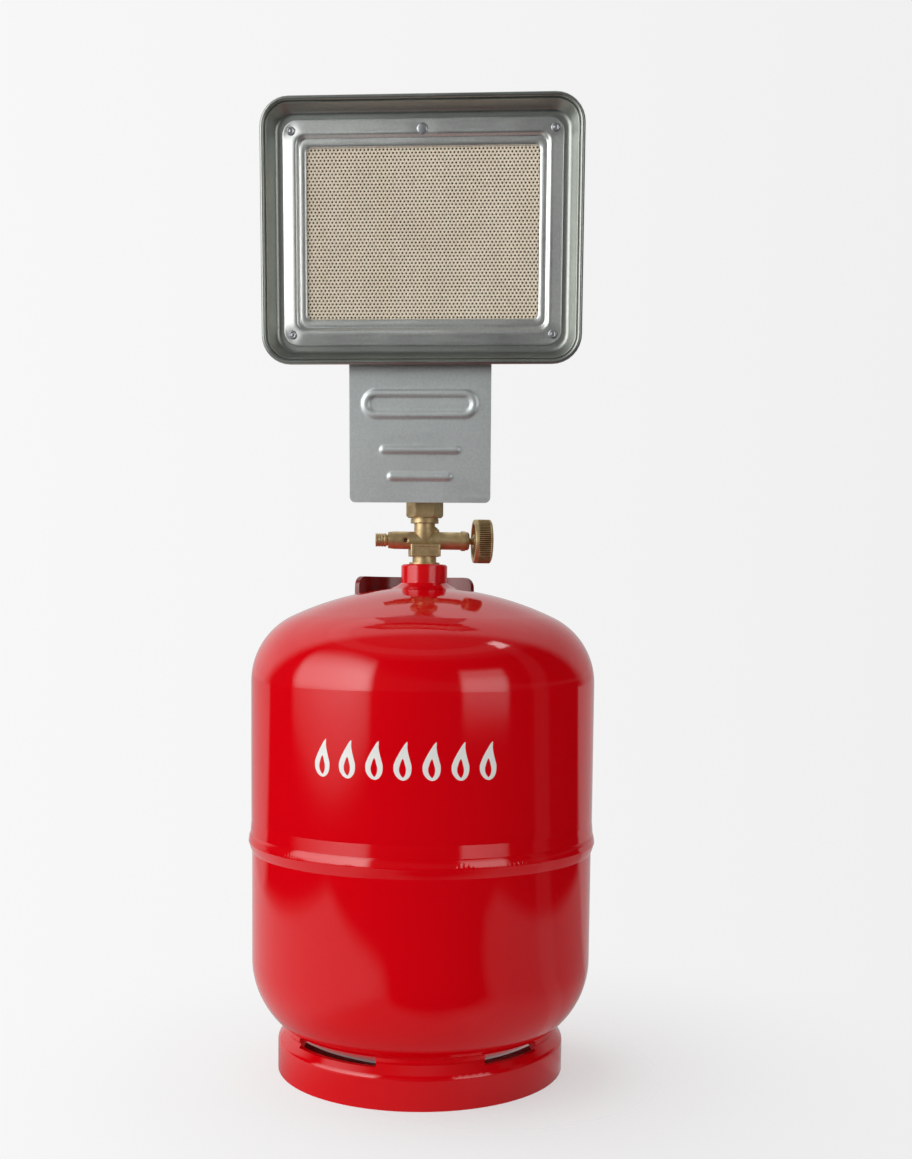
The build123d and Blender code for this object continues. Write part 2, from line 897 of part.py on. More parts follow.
def tailpiece():
    """Flanged nipple that the union nut clamps, with the jet's seat at its top."""
    jet_seat = tail_top_height - jet_shank_length
    return turned_ring(
        (tail_bore, flange_bottom_height),
        (tail_flange_radius, flange_bottom_height),
        (tail_flange_radius, flange_top_height),
        (tail_radius, flange_top_height),
        (tail_radius, tail_top_height),
        (jet_shank_radius, tail_top_height),
        (jet_shank_radius, jet_seat),
        (tail_bore, jet_seat),
    )


def gauze_filter():
    return post(flange_top_height, flange_top_height + gauze_thickness, tail_bore)


def injector_jet():
    bottom = tail_top_height - jet_shank_length
    shank = post(bottom, tail_top_height, jet_shank_radius)
    hexagon = RegularPolygon(jet_flats / 2, 6, major_radius=False)
    hex_top = tail_top_height + jet_hex_height
    collar = Pos(0, 0, tail_top_height) * extrude(hexagon, amount=jet_hex_height)
    nose = post(hex_top, hex_top + jet_nose_height, jet_nose_radius)
    return shank + collar + nose - post(bottom, hex_top + jet_nose_height, jet_orifice)


def thrust_ring():
    return post(flange_top_height, nut_lip_height, washer_radius) - post(
        flange_top_height, nut_lip_height, tail_radius + running_clearance
    )


def union_nut():
    """Hexagon nut with chamfered corners and a lip over the tailpiece flange."""
    tall = nut_top_height - nut_bottom_height
    corner = nut_flats / sqrt(3)
    hexagon = Pos(0, 0, nut_bottom_height) * extrude(
        RegularPolygon(nut_flats / 2, 6, major_radius=False), amount=tall
    )
    chamfered = turned_ring(
        (0, nut_bottom_height),
        (corner - nut_chamfer, nut_bottom_height),
        (corner, nut_bottom_height + nut_chamfer),
        (corner, nut_top_height - nut_chamfer),
        (corner - nut_chamfer, nut_top_height),
        (0, nut_top_height),
    )
    thread = post(nut_bottom_height, nut_lip_height, outlet_radius + running_clearance)
    hole = post(nut_lip_height, nut_top_height, tail_radius + running_clearance)
    return Rot(0, 0, nut_turn) * ((hexagon & chamfered) - thread - hole)


# ---------------------------------------------------------------- mixing tube
def tube_top_height():
    """Height at which the tube ends, inside the rear chamber of the pan."""
    tilt = radians(head_tilt)
    wall = pan_rear_tall / 2
    depth = (head_front - wall * sin(tilt)) / cos(tilt)
    return head_height - wall * cos(tilt) + depth * sin(tilt) + tube_entry


def tube_blank(inset=0.0):
    """Outer form of the tube, or its bore when inset by the wall."""
    top = tube_top_height()
    return turned_ring(
        (0, cage_bottom_height + inset),
        (cage_radius - inset, cage_bottom_height + inset),
        (cage_radius - inset, cage_top_height),
        (throat_radius - inset, throat_height),
        (throat_radius - inset, throat_height + throat_length),
        (tube_radius - inset, tube_widen_height),
        (tube_radius - inset, top),
        (0, top),
    )


def mixing_tube():
    """Venturi: a hub on the tailpiece, a cage of air ports, the throat and the widening tube."""
    hub = post(tube_hub_height, cage_bottom_height + tube_wall, tail_radius + hub_wall)
    tube = hub + tube_blank() - tube_blank(tube_wall)
    tube -= post(tube_hub_height, cage_bottom_height + tube_wall, tail_radius)
    port = Pos(0, 0, air_port_height) * Rot(90, 0, 0) * Cylinder(air_port_radius, 2 * (cage_radius + cut_margin))
    for side in (45, 135):
        tube -= Rot(0, 0, side) * port
    return tube


# ---------------------------------------------------------------- burner head
def rivet_holes(front, back):
    holes = pins(rivet_places, front, back, rivet_shank)
    holes.append(pin((0, top_screw_rise), front, back, top_screw_shank))
    return holes


def reflector_dish():
    """Pressed dish: wired rim bead, sloping walls and a narrow floor that carries the plaque frame."""
    path_width = head_width - 2 * bead_radius
    path_tall = head_tall - 2 * bead_radius
    path_corner = head_corner - bead_radius
    path = (at_depth(bead_radius) * RectangleRounded(path_width, path_tall, path_corner)).wire()
    bead = sweep(Plane(path @ 0, z_dir=path % 0) * Circle(bead_radius), path=path)
    mouth_width = path_width - 2 * bead_radius
    mouth_tall = path_tall - 2 * bead_radius
    mouth_corner = path_corner - bead_radius
    void = tapered(
        (mouth_width, mouth_tall, mouth_corner), 0,
        (dish_floor_width, dish_floor_tall, dish_floor_corner), dish_depth,
    )
    outside = tapered(
        (mouth_width + 2 * sheet, mouth_tall + 2 * sheet, mouth_corner + sheet), bead_radius,
        (dish_floor_width + 2 * sheet, dish_floor_tall + 2 * sheet, dish_floor_corner + sheet), dish_back,
    )
    dish = outside - void + bead
    dish -= slab(dish_hole_width, dish_hole_tall, lip_corner, dish_depth - sheet, dish_back + sheet)
    return in_head(dish - rivet_holes(dish_depth - sheet, dish_back))


def plaque_frame():
    """Raised band round the window, with a step and a lip that slopes in to hold the plaque."""
    back = frame_front + sheet
    band = slab(frame_width - 2 * frame_edge, frame_tall - 2 * frame_edge, frame_corner, frame_front, back)
    band += slab(frame_width, frame_tall, frame_corner + frame_edge, frame_front + frame_edge, back)
    band -= slab(lip_width, lip_tall, lip_corner, frame_front, back)
    lip_front = frame_front + frame_step
    window_front = lip_front + window_drop
    lip_size = (lip_width, lip_tall, lip_corner)
    window_size = (window_width, window_tall, window_corner)
    outline = (lip_width + 2 * lip_lap, lip_tall + 2 * lip_lap, lip_corner + lip_lap)
    block = slab(*outline, lip_front, window_front + sheet)
    shelf = slab(*outline, lip_front, lip_front + sheet)
    lip = (block & (tapered(lip_size, lip_front + sheet, window_size, window_front + sheet) + shelf))
    lip -= tapered(lip_size, lip_front, window_size, window_front)
    lip -= slab(*window_size, lip_front, window_front + sheet)
    return in_head(band + lip - rivet_holes(frame_front, back))


def ceramic_plaque():
    return in_head(slab(plaque_width, plaque_tall, plaque_corner, plaque_front, plaque_back))


def plaque_gasket():
    """Soft band round the plaque's edge, between it and the pan."""
    front = plaque_front - gasket_lead
    outer = slab(pan_front_width, pan_front_tall, pan_front_corner, front, plaque_back)
    return in_head(outer - slab(plaque_width, plaque_tall, plaque_corner, front, plaque_back))


def burner_pan():
    """Pressed gas chamber: a riveted flange, a seat for the plaque and a drafted rear chamber."""
    front_size = (pan_front_width, pan_front_tall, pan_front_corner)
    rear_size = (pan_rear_width, pan_rear_tall, pan_rear_corner)
    end_size = (pan_rear_width - 2 * pan_draft, pan_rear_tall - 2 * pan_draft, pan_rear_corner)

    def grown(size):
        return size[0] + 2 * pan_sheet, size[1] + 2 * pan_sheet, size[2] + pan_sheet

    pan = slab(pan_flange_width, pan_flange_tall, frame_corner, dish_back, pan_back_of_flange)
    pan += slab(*grown(front_size), dish_back, plaque_back + pan_sheet)
    pan += tapered(grown(rear_size), plaque_back, grown(end_size), pan_back + pan_sheet)
    pan -= slab(*front_size, dish_back, plaque_back)
    pan -= tapered(rear_size, plaque_back, end_size, pan_back)
    pan -= rivet_holes(dish_back, pan_back_of_flange)
    return in_head(pan) - post(throat_height, tube_top_height(), tube_radius)


def diffuser_plate():
    """Perforated plate that spreads the gas behind the plaque, on four legs from the pan's back."""
    front = plaque_back + baffle_setback
    plate = slab(baffle_width, baffle_tall, baffle_corner, front, front + sheet)
    holes = []
    for column in range(baffle_holes_across):
        for row in range(baffle_holes_up):
            x = (column - (baffle_holes_across - 1) / 2) * baffle_pitch
            z = (row - (baffle_holes_up - 1) / 2) * baffle_pitch
            holes.append(pin((x, z), front, front + sheet, baffle_hole_radius))
    plate -= holes
    across = baffle_width / 2 - baffle_leg_inset
    rise = baffle_tall / 2 - baffle_leg_inset
    for x in (-across, across):
        for z in (-rise, rise):
            plate += pin((x, z), front, pan_back, baffle_leg_radius)
    return in_head(plate)


def corner_rivets():
    """Four rivets through the plaque frame, dish and pan; the lower two also hold the shield plate."""
    rivets = []
    for places, back in ((upper_rivets, pan_back_of_flange), (lower_rivets, shield_back)):
        for place in places:
            rivet = pin(place, frame_front, back, rivet_shank)
            rivet += pin(place, frame_front - rivet_head_height, frame_front, rivet_head)
            rivet += pin(place, back, back + rivet_head_height, rivet_head)
            rivets.append(in_head(rivet))
    return Compound(rivets)


def top_screw():
    place = (0, top_screw_rise)
    end = pan_back_of_flange + top_nut_height
    screw = pin(place, frame_front, end + 2 * rivet_head_height, top_screw_shank)
    return in_head(screw + pin(place, frame_front - top_screw_head_height, frame_front, top_screw_head))


def top_screw_nut():
    front = pan_back_of_flange
    hexagon = RegularPolygon(top_nut_flats / 2, 6, major_radius=False)
    blank = extrude(at_depth(front) * Pos(0, top_screw_rise) * hexagon, amount=-top_nut_height)
    return in_head(blank - pin((0, top_screw_rise), front, front + top_nut_height, top_screw_shank))


def swage_bar(length, tall, rise, inset, front, back):
    """Round-ended bar at a height above the shield plate's bottom edge, between two depths."""
    outline = Pos(0, rise - shield_bottom) * SlotOverall(length - 2 * inset, tall - 2 * inset)
    return extrude(at_depth(front) * outline, amount=front - back)


def swages(inset, front, back):
    """The plate's pressed figures: a round-ended loop with two bars below it."""
    hole = swage_bar(loop_length, loop_tall, loop_rise, swage_width - inset, front, back)
    return [
        swage_bar(loop_length, loop_tall, loop_rise, inset, front, back) - hole,
        swage_bar(upper_bar_length, swage_width, upper_bar_rise, inset, front, back),
        swage_bar(lower_bar_length, swage_width, lower_bar_rise, inset, front, back),
    ]


def shield_plate():
    """Flat plate below the head, pressed with a few stiffening figures; the lower rivets grip its top."""
    front, back = pan_back_of_flange, shield_back
    body = Pos(0, -shield_top - shield_tall / 2) * RectangleRounded(shield_width, shield_tall, shield_corner)
    arm = Pos(0, -shield_top - shield_arm_tall / 2) * RectangleRounded(
        pan_flange_width, shield_arm_tall, shield_arm_corner
    )
    plate = extrude(at_depth(front) * (body + arm), amount=front - back)
    plate += swages(0, front - swage_height, back)
    plate -= swages(shield_sheet, front - swage_height + shield_sheet, back)
    return in_head(plate - pins(lower_rivets, front, back, rivet_shank))


# ---------------------------------------------------------------- nodes
nodes = {
    "upper_shell": upper_shell(),
    "lower_shell": lower_shell(),
    "girth_weld": girth_weld(),
    "foot_ring": foot_ring(),
    "foot_welds": foot_welds(),
    "neck_boss": neck_boss(),
    "neck_weld": neck_weld(),
    "rear_guard": rear_guard(),
    "guard_weld": guard_weld(),
    "valve_body": in_valve(valve_body()),
    "passage_plug": in_valve(passage_plug()),
    "spindle": in_valve(spindle()),
    "spindle_o_ring": in_valve(spindle_o_ring()),
    "gland_nut": in_valve(gland_nut()),
    "handwheel": in_valve(handwheel()),
    "handwheel_screw": in_valve(handwheel_screw()),
    "relief_poppet": in_valve(relief_poppet()),
    "relief_pad": in_valve(relief_pad()),
    "relief_spring": in_valve(relief_spring()),
    "relief_screw": in_valve(relief_screw()),
    "union_washer": union_washer(),
    "union_nut": union_nut(),
    "thrust_ring": thrust_ring(),
    "tailpiece": tailpiece(),
    "gauze_filter": gauze_filter(),
    "injector_jet": injector_jet(),
    "mixing_tube": mixing_tube(),
    "reflector_dish": reflector_dish(),
    "plaque_frame": plaque_frame(),
    "ceramic_plaque": ceramic_plaque(),
    "plaque_gasket": plaque_gasket(),
    "burner_pan": burner_pan(),
    "diffuser_plate": diffuser_plate(),
    "corner_rivets": corner_rivets(),
    "top_screw": top_screw(),
    "top_screw_nut": top_screw_nut(),
    "shield_plate": shield_plate(),
}

os.makedirs("parts", exist_ok=True)
for name, shape in nodes.items():
    export_step(shape, f"parts/{name}.step")
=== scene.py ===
"""Portable propane heater: a small steel gas cylinder, its brass valve and an infrared burner head."""
import json
from math import atan2, ceil, copysign, cos, degrees, hypot, pi, radians, sin, sqrt, tan

import bmesh
import bpy
from bpy.props import FloatProperty, FloatVectorProperty, IntProperty, PointerProperty
from mathutils import Matrix, Vector


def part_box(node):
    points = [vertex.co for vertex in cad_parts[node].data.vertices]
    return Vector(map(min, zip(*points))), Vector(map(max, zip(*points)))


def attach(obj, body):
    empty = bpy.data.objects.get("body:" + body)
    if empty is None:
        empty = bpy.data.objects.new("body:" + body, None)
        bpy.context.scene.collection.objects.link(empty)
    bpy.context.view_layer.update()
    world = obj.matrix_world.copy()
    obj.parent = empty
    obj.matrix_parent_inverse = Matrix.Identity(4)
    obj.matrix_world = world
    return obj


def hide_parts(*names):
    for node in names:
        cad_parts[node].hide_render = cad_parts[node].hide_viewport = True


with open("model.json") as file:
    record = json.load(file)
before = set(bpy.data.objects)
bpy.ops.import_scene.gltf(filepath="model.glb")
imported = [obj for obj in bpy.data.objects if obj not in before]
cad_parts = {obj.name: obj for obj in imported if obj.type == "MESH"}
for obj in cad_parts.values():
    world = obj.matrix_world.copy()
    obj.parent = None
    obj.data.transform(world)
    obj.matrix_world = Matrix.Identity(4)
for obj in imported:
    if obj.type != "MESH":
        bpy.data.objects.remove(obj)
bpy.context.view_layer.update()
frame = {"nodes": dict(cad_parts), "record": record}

bl_info = {
    "name": "Portable propane heater",
    "version": (1, 0, 0),
    "blender": (4, 5, 0),
    "location": "View3D > Sidebar > Heater",
    "description": "Builds the pieces, finishes and studio of a portable propane heater",
    "category": "Object",
}

MILLIMETRE = 0.001
# turns the upper side of what is drawn flat, or about Z, to the front
UPRIGHT = Matrix.Rotation(pi / 2, 4, "X")
# base of the bell curves that dents and beads fade out with
BELL = 2.7
# degrees between two faces from which their edge is sharp, and to which a rounded corner is broken down
CREASE = 35
ARC_STEP = 15
# steps of a mesh round a corner, a wired rim, a ripple and a flute, along an arm, round a rivet, a screw and
# a hole, and cuts along the frame's sides
CORNER_STEPS = 8
WIRE_STEPS = 13
RIPPLE_STEPS = 6
FLUTE_STEPS = 6
ARM_STEPS = 6
RIVET_STEPS = 28
SCREW_STEPS = 40
HOLE_STEPS = 12
FRAME_CUTS = 60
SLOT_FINISH = {
    "red_paint": "red_gloss_enamel",
    "dark_red_paint": "dark_red_enamel",
    "brass": "machined_brass",
    "steel": "rolled_steel_sheet",
    "bright_steel": "bright_rolled_sheet",
    "zinc_steel": "zinc_plated_steel",
    "rubber": "moulded_rubber",
    "ceramic": "fired_cordierite",
    "fibre": "ceramic_fibre_felt",
}
NODE_FINISH = {
    "upper_shell": "printed_gloss_enamel",
    "neck_boss": "thick_gloss_enamel",
    "neck_weld": "enamel_over_weld",
    "foot_welds": "enamel_over_weld",
    "burner_pan": "heat_tinted_sheet",
    "gauze_filter": "woven_wire_gauze",
}
# width of the broken edge of sheet and brass, in metres
BROKEN_EDGE = 0.00025
ALKYD_IOR = 1.52
INK_ROUGHNESS = 0.32
# brass under a brown film that isn't metal
FILMED_METAL = 0.8
# depth over which painted shade darkens the burner holes, in metres
HOLE_SHADE_DEPTH = 0.002
# heat tints by distance from the pan's middle, in metres
HEAT_TINTS = ((0.055, "#B9A88F"), (0.075, "#C7AC7C"), (0.1, "#C4B9A2"), (0.125, "#FFFFFF"))
# millimetres, also below, up to the lamps: how high the girth weld's beads stand, how tall their band is, and
# how far the beads and the band wander up and down
BEAD_LIFT = 0.2
BEAD_BAND = 0.8
BEAD_WANDER = 0.12
BAND_WANDER = 0.5
# how much larger than the window the fold of the plaque's frame is, and the dish's hole, and corner radii
FOLD_ACROSS = 10.4
FOLD_UP = 12.0
HOLE_UP = 13.2
WINDOW_CORNER = 3.0
FOLD_CORNER = 5.0
FRAME_CORNER = 8.5
PLAQUE_CORNER = 1.5
# depth and reach of the dimples round the fasteners
RIVET_DIMPLE = (0.45, 3.7)
SCREW_DIMPLE = (0.3, 5.0)
# thickness that the upper rivets hold, and the lower ones, with the shield's arms between
UPPER_GRIP = 2.6
LOWER_GRIP = 3.6
# plaque's two opposite borders without holes, together, height between two holes as a share of a tip's, and
# what counts as touching
PLAIN_BORDER = 3.0
SADDLE = 0.35
TOUCHING = 0.01
# half width of a pressed figure's crest, and width of its slope
SWAGE_CREST = 0.9
SWAGE_SLOPE = 1.8
# share of the way from the reflector's mouth to its floor, and share of its depth
DISH_WALL = (
    (0.01, 0.22), (0.03, 0.232), (0.06, 0.19), (0.1, 0.176), (0.15, 0.19), (0.19, 0.24), (0.24, 0.306),
    (0.37, 0.478), (0.5, 0.65), (0.64, 0.836), (0.7, 0.904), (0.78, 0.952), (0.88, 0.984), (0.97, 0.996),
    (1.053, 1.0),
)
# the same for the wall's back, and how many sheets it lies behind
DISH_BACK = ((0.11, 0.3, 1.0), (0.685, 0.97, 1.0), (0.8, 1.06, 0.5))
# share of the way from the window to the frame's fold, from there to its edge, and back along its rear side,
# and depth behind its face
FRAME_LIP = (
    (0.015, 2.3), (0.05, 1.8), (0.1, 1.5), (0.18, 1.3), (0.3, 1.16), (0.45, 1.08), (0.58, 1.09), (0.7, 1.16),
    (0.79, 1.26), (0.83, 1.16), (0.91, 0.7), (1.0, 0.12), (1.06, -0.28), (1.13, -0.5),
)
FRAME_BAND = (
    (0.2, -0.62), (0.35, -0.44), (0.55, -0.18), (0.75, 0.08), (0.9, 0.28), (0.96, 0.38), (0.99, 0.48),
    (1.0, 0.6), (1.0, 0.78),
)
FRAME_BACK = ((1.3, 0.45), (1.0, 1.0), (0.75, 1.65), (0.3, 1.92))
# radius, and height over the face of the frame
RIVET_HEAD = (
    (0, 0.62), (0.9, 0.6), (1.15, 0.48), (1.4, 0.62), (1.8, 0.68), (2.2, 0.55), (2.45, 0.25), (2.45, -0.05),
)
SCREW_PROFILE = (
    (0, 1.1), (2.0, 1.05), (2.6, 0.95), (3.0, 0.7), (3.2, 0.3), (3.2, 0.1), (1.5, 0.1), (1.5, -6.8),
    (0, -6.8),
)
# height over the shield's lower edge, half length, and radius of the loop or none for a bar
SWAGES = ((56.2, 25.5, 6.0), (30.2, 21.0, 0.0), (14.9, 16.5, 0.0))
# each lamp has its share by azimuth, its radiance by rise, the azimuth of its middle, and by rise how far its
# edge bows and slants, with all directions in degrees
LAMPS = (
    (
        ((-89, 0.0), (-84, 0.6), (-72, 0.78), (-54, 1.0), (-36, 1.2), (-31, 1.1), (-26.5, 0.0)),
        (
            (-12, 0.0), (-10, 0.05), (-8.7, 0.16), (-7.5, 0.55), (-5.4, 0.95), (-4, 1.3), (-2, 2.3), (1, 3.9),
            (8, 4.6), (20, 4.6), (28, 3.9), (36, 2.6), (42, 1.0), (48, 0.0),
        ),
        -58.0, ((-6, -0.0045), (2, 0.0), (20, 0.008)), ((-6, 0.03), (6, 0.0)),
    ),
    (
        ((29.5, 0.0), (33.5, 1.0), (59, 1.0), (63.5, 0.0)),
        (
            (-5.2, 0.0), (-4.4, 0.05), (-3.6, 0.95), (0, 2.3), (8, 2.95), (14, 2.6), (19, 1.7), (24, 1.5),
            (27, 0.4), (30, 0.0),
        ),
        46.0, (), (),
    ),
    (
        ((80, 0.0), (83, 1.0), (92, 1.0), (96, 0.0)),
        ((50, 0.0), (52.5, 7.0), (57.5, 7.0), (61, 0.0)),
        88.0, (), (),
    ),
)
# direction of the white paper, the share of it where the paper starts and is full, how much it dims to the
# right, and its glow and the room's by rise
PAPER_TOWARDS = (-0.15, 1.0, 0.62)
PAPER_EDGE = (0.5, 0.72)
PAPER_DIMMING = -0.34
PAPER_GLOW = ((-90, 0.55), (0, 0.58), (10, 0.7), (30, 0.76), (38, 0.92), (60, 0.95), (90, 0.9))
ROOM_GLOW = ((-90, 0.01), (40, 0.02), (48, 0.13), (60, 0.16), (90, 0.3))
# brightness of the backdrop over its mean at the left and right end of a stretch of the view
BACKDROP_STRETCH = (-0.38, 0.23)
BACKDROP_TONES = (0.03, -0.035)
# metres: glow painted on the floor for gloss rays only, as a painted reflection of lit paper, by X; by X how
# far it reaches to the front, and how softly it ends there
FLOOR_ACROSS = (
    (-0.62, 0.0), (-0.56, 0.3), (-0.48, 0.75), (-0.15, 0.7), (-0.05, 0.28), (0.03, 0.3), (0.1, 0.42),
    (0.3, 0.3), (0.5, 0.34), (0.56, 0.15), (0.6, 0.0),
)
FLOOR_FRONT = (
    (-0.2, 0.46), (-0.1, 0.42), (-0.03, 0.27), (0.06, 0.21), (0.2, 0.24), (0.3, 0.36), (0.42, 0.46),
)
FLOOR_EDGE = 0.07
# slopes of the line behind the object where the far floor's painted glow starts, to both sides and to the
# right, the stretch over which it comes up, and the glow
FAR_SLOPES = (-0.61, -0.18)
FAR_EDGE = (-0.04, 0.06)
FAR_GLOW = 0.58
# height from which the lamps' lower ends are painted onto the floor, as glow that only gloss rays see
PAINTED_LAMP_HEIGHT = 0.2
# radius of the floor inside the foot ring, middle of the shadow, and by distance from it how clear the paper
# is to the backdrop
FOOT_RADIUS = 0.083
SHADOW_MIDDLE = (0.045, -0.01, 0.0)
PAPER_FADE = ((0.06, 0.58), (0.12, 0.78), (0.2, 0.91), (0.28, 0.985), (0.33, 1.0))
# by share of the flame's height, as a share of the pitch: half widths, and where its middle lies; the ink's
# soft edge is such a share too
FLAME_OUTLINE = (
    (0.0, -0.02), (0.015, 0.08), (0.08, 0.2), (0.2, 0.29), (0.34, 0.31), (0.5, 0.255), (0.66, 0.17),
    (0.82, 0.085), (0.94, 0.03), (1.0, -0.02),
)
FLAME_HEART = (
    (0.06, -0.02), (0.1, 0.04), (0.18, 0.1), (0.28, 0.12), (0.4, 0.085), (0.52, 0.03), (0.58, -0.02),
    (1.0, -0.1),
)
INK_EDGE = 0.006
FLAME_LEAN = ((0.0, 0.5), (0.3, 0.47), (0.6, 0.49), (0.85, 0.56), (1.0, 0.64))
# camera: place in metres, turns in degrees, and shift as a share of its sensor's width
CAMERA_PLACE = (0.0847, -0.8429, 0.28035)
CAMERA_TURN = 4.4
CAMERA_DOWN = 4.42
CAMERA_ROLL = 0.6
CAMERA_SHIFT = 0.1142
# how far it sees, in metres, and its sensor, in millimetres
CAMERA_REACH = 100.0
SENSOR_WIDTH = 36.0


# ------------------------------------------------------------------ properties
def length(name, millimetres, description):
    """A length property, written in millimetres and kept in metres."""
    return FloatProperty(
        name=name, description=description, default=millimetres * MILLIMETRE,
        min=0.0, unit="LENGTH", precision=5,
    )


def per_millimetre(size):
    """Scale that gives a pattern features of about a size in millimetres."""
    return 1 / (size * MILLIMETRE)


def angle(name, degrees_, description):
    return FloatProperty(name=name, description=description, default=radians(degrees_), unit="ROTATION")


def linear(code):
    """Linear colour of an sRGB hex code."""
    parts = [int(code[i:i + 2], 16) / 255 for i in (1, 3, 5)]
    return tuple(part / 12.92 if part <= 0.04045 else ((part + 0.055) / 1.055) ** 2.4 for part in parts)


def colour(name, code, description):
    return FloatVectorProperty(
        name=name, description=description, default=linear(code), min=0.0, max=1.0, size=3, subtype="COLOR"
    )


class CylinderSizes(bpy.types.PropertyGroup):
    """Sizes of the painted steel cylinder."""

    radius: length("Radius", 102.0, "Outer radius of the upper half")
    lower_radius: length("Lower radius", 101.6, "Outer radius of the lower half")
    bell: length("Bell radius", 102.6, "Radius of the upper half's belled edge")
    bead_low: length("Bead bottom", 132.479, "Height at which the girth weld starts")
    bead_high: length("Bead top", 142.979, "Height at which the girth weld ends")
    bead_crown: length("Bead crown", 1.0, "How far the girth weld stands out of the bell")
    ripple: length("Ripple pitch", 2.4, "Distance between two ripples of the weld")


class ValveSizes(bpy.types.PropertyGroup):
    """Sizes of the handwheel."""

    arm_height: length("Arm height", 316.784, "Height of the valve's cross arm")
    turn: angle("Turn", 11.0, "Angle of the cross arm from the heater's side")
    wheel_place: length("Wheel place", 29.2, "Distance of the handwheel from the cylinder's axis")
    wheel_width: length("Wheel width", 10.6, "Width of the handwheel")
    wheel_radius: length("Wheel radius", 13.0, "Radius of the handwheel over its flutes")
    flutes: IntProperty(name="Flutes", description="Number of flutes round the handwheel", default=66, min=12)
    flute_depth: length("Flute depth", 0.8, "Depth of a flute")


class HeadSizes(bpy.types.PropertyGroup):
    """Sizes of the burner head, seen square to its face."""

    height: length("Height", 487.784, "Height of the middle of the rim")
    front: length("Front", 37.0, "How far the rim stands before the cylinder's axis")
    tilt: angle("Tilt", 3.3, "How far the burner looks down")
    width: length("Width", 182.0, "Width over the rim")
    tall: length("Tall", 146.5, "Height over the rim")
    corner: length("Corner", 16.5, "Corner radius of the rim")
    bead: length("Bead", 1.35, "Radius of the wired rim")
    sheet: length("Sheet", 0.8, "Thickness of the sheet")
    floor_width: length("Floor width", 162.3, "Width of the dish's floor")
    floor_tall: length("Floor tall", 127.9, "Height of the dish's floor")
    floor_corner: length("Floor corner", 9.0, "Corner radius of the dish's floor")
    floor_depth: length("Floor depth", 8.4, "Depth of the dish's floor behind the rim")
    frame_width: length("Frame width", 158.8, "Width of the plaque frame")
    frame_tall: length("Frame tall", 124.4, "Height of the plaque frame")
    window_width: length("Window width", 131.6, "Width of the window")
    window_tall: length("Window tall", 94.0, "Height of the window")
    plaque_width: length("Plaque width", 137.0, "Width of the ceramic plaque")
    plaque_tall: length("Plaque tall", 101.5, "Height of the ceramic plaque")
    plaque_depth: length("Plaque depth", 10.3, "Depth of the plaque's face behind the rim")
    plaque_thick: length("Plaque thickness", 12.0, "Thickness of the plaque")
    pitch: length("Hole pitch", 2.17, "Distance between two burner holes")
    hole: length("Hole radius", 0.52, "Radius of a burner hole")
    hole_depth: length("Hole depth", 1.7, "Depth to which the burner holes are drawn")
    tip: length("Tip height", 0.52, "Height of the tips between the holes over their rims")
    rivet_across: length("Rivet across", 74.4, "Distance of the rivets from the middle, sideways")
    rivet_up: length("Rivet up", 55.9, "Distance of the rivets from the middle, upwards")
    screw_up: length("Screw up", 56.2, "Distance of the top screw from the middle")


class ShieldSizes(bpy.types.PropertyGroup):
    """Sizes of the shield plate that hangs below the burner head."""

    width: length("Width", 82.0, "Width of the plate")
    tall: length("Tall", 97.4, "Height of the plate")
    top: length("Top", 53.3, "Depth of the upper edge below the middle of the head")
    corner: length("Corner", 3.3, "Corner radius")
    arm_tall: length("Arm height", 8.2, "Height of the two arms that the rivets hold")
    arm_reach: length("Arm reach", 75.7, "Distance from the middle to the arm's rounded end")
    sheet: length("Sheet", 1.0, "Thickness of the sheet")
    raised: length("Swage height", 0.85, "Height of the pressed figures")
    aside: length("Aside", 1.2, "How far the plate hangs to the left of the middle")
    cell: length("Cell", 0.8, "Size of the squares that the plate is drawn with")


class PrintSizes(bpy.types.PropertyGroup):
    """Sizes of the flames printed on the front of the cylinder."""

    radius: length("Radius", 102.0, "Radius of the printed surface")
    low: length("Low", 185.8, "Height of the flames' feet")
    high: length("High", 207.1, "Height of the flames' tips")
    pitch: length("Pitch", 15.5, "Distance between two flames round the cylinder")
    count: IntProperty(name="Count", description="Number of flames", default=7, min=1)


class HeaterColours(bpy.types.PropertyGroup):
    """Colours of the finishes."""

    enamel: colour("Red enamel", "#DE000F", "Gloss enamel of the cylinder")
    # the guard's darker red is the cylinder's red enamel darkened as painted shade
    guard: colour("Guard enamel", "#7C1A17", "Enamel of the guard behind the valve")
    print_ink: colour("Print", "#F2F2EE", "Ink of the printed flames")
    brass: colour("Brass", "#D4BC8C", "Machined brass of the valve")
    # a real brown film in patches on the brass, and also the painted shade down in the handwheel's flutes
    tarnish: colour("Tarnish", "#745A38", "Brown film on the brass")
    bright_steel: colour("Bright steel", "#DFE2DF", "Bright sheet of the plaque frame")
    drawn_steel: colour("Drawn steel", "#9FA39D", "Sheet of the reflector dish")
    plain_steel: colour("Plain steel", "#D6DCDB", "Rolled sheet of the shield and the pan")
    zinc: colour("Zinc plating", "#B4B7BA", "Plated screws and rivets")
    # the tips' colour is a painted highlight on the ceramic; the colours by the holes and down in them are
    # painted shade
    ceramic_tip: colour("Ceramic tips", "#F4EADA", "Fired cordierite on the tips of the plaque")
    ceramic: colour("Ceramic", "#DDCFB8", "Fired cordierite of the plaque")
    ceramic_edge: colour("Ceramic by the holes", "#B09E84", "Browned ceramic round the holes")
    soot: colour("Soot", "#5C4E3E", "Old soot down in the holes")
    rubber: colour("Rubber", "#191919", "Seals")
    fibre: colour("Ceramic fibre", "#DAD6CC", "Gasket round the plaque")


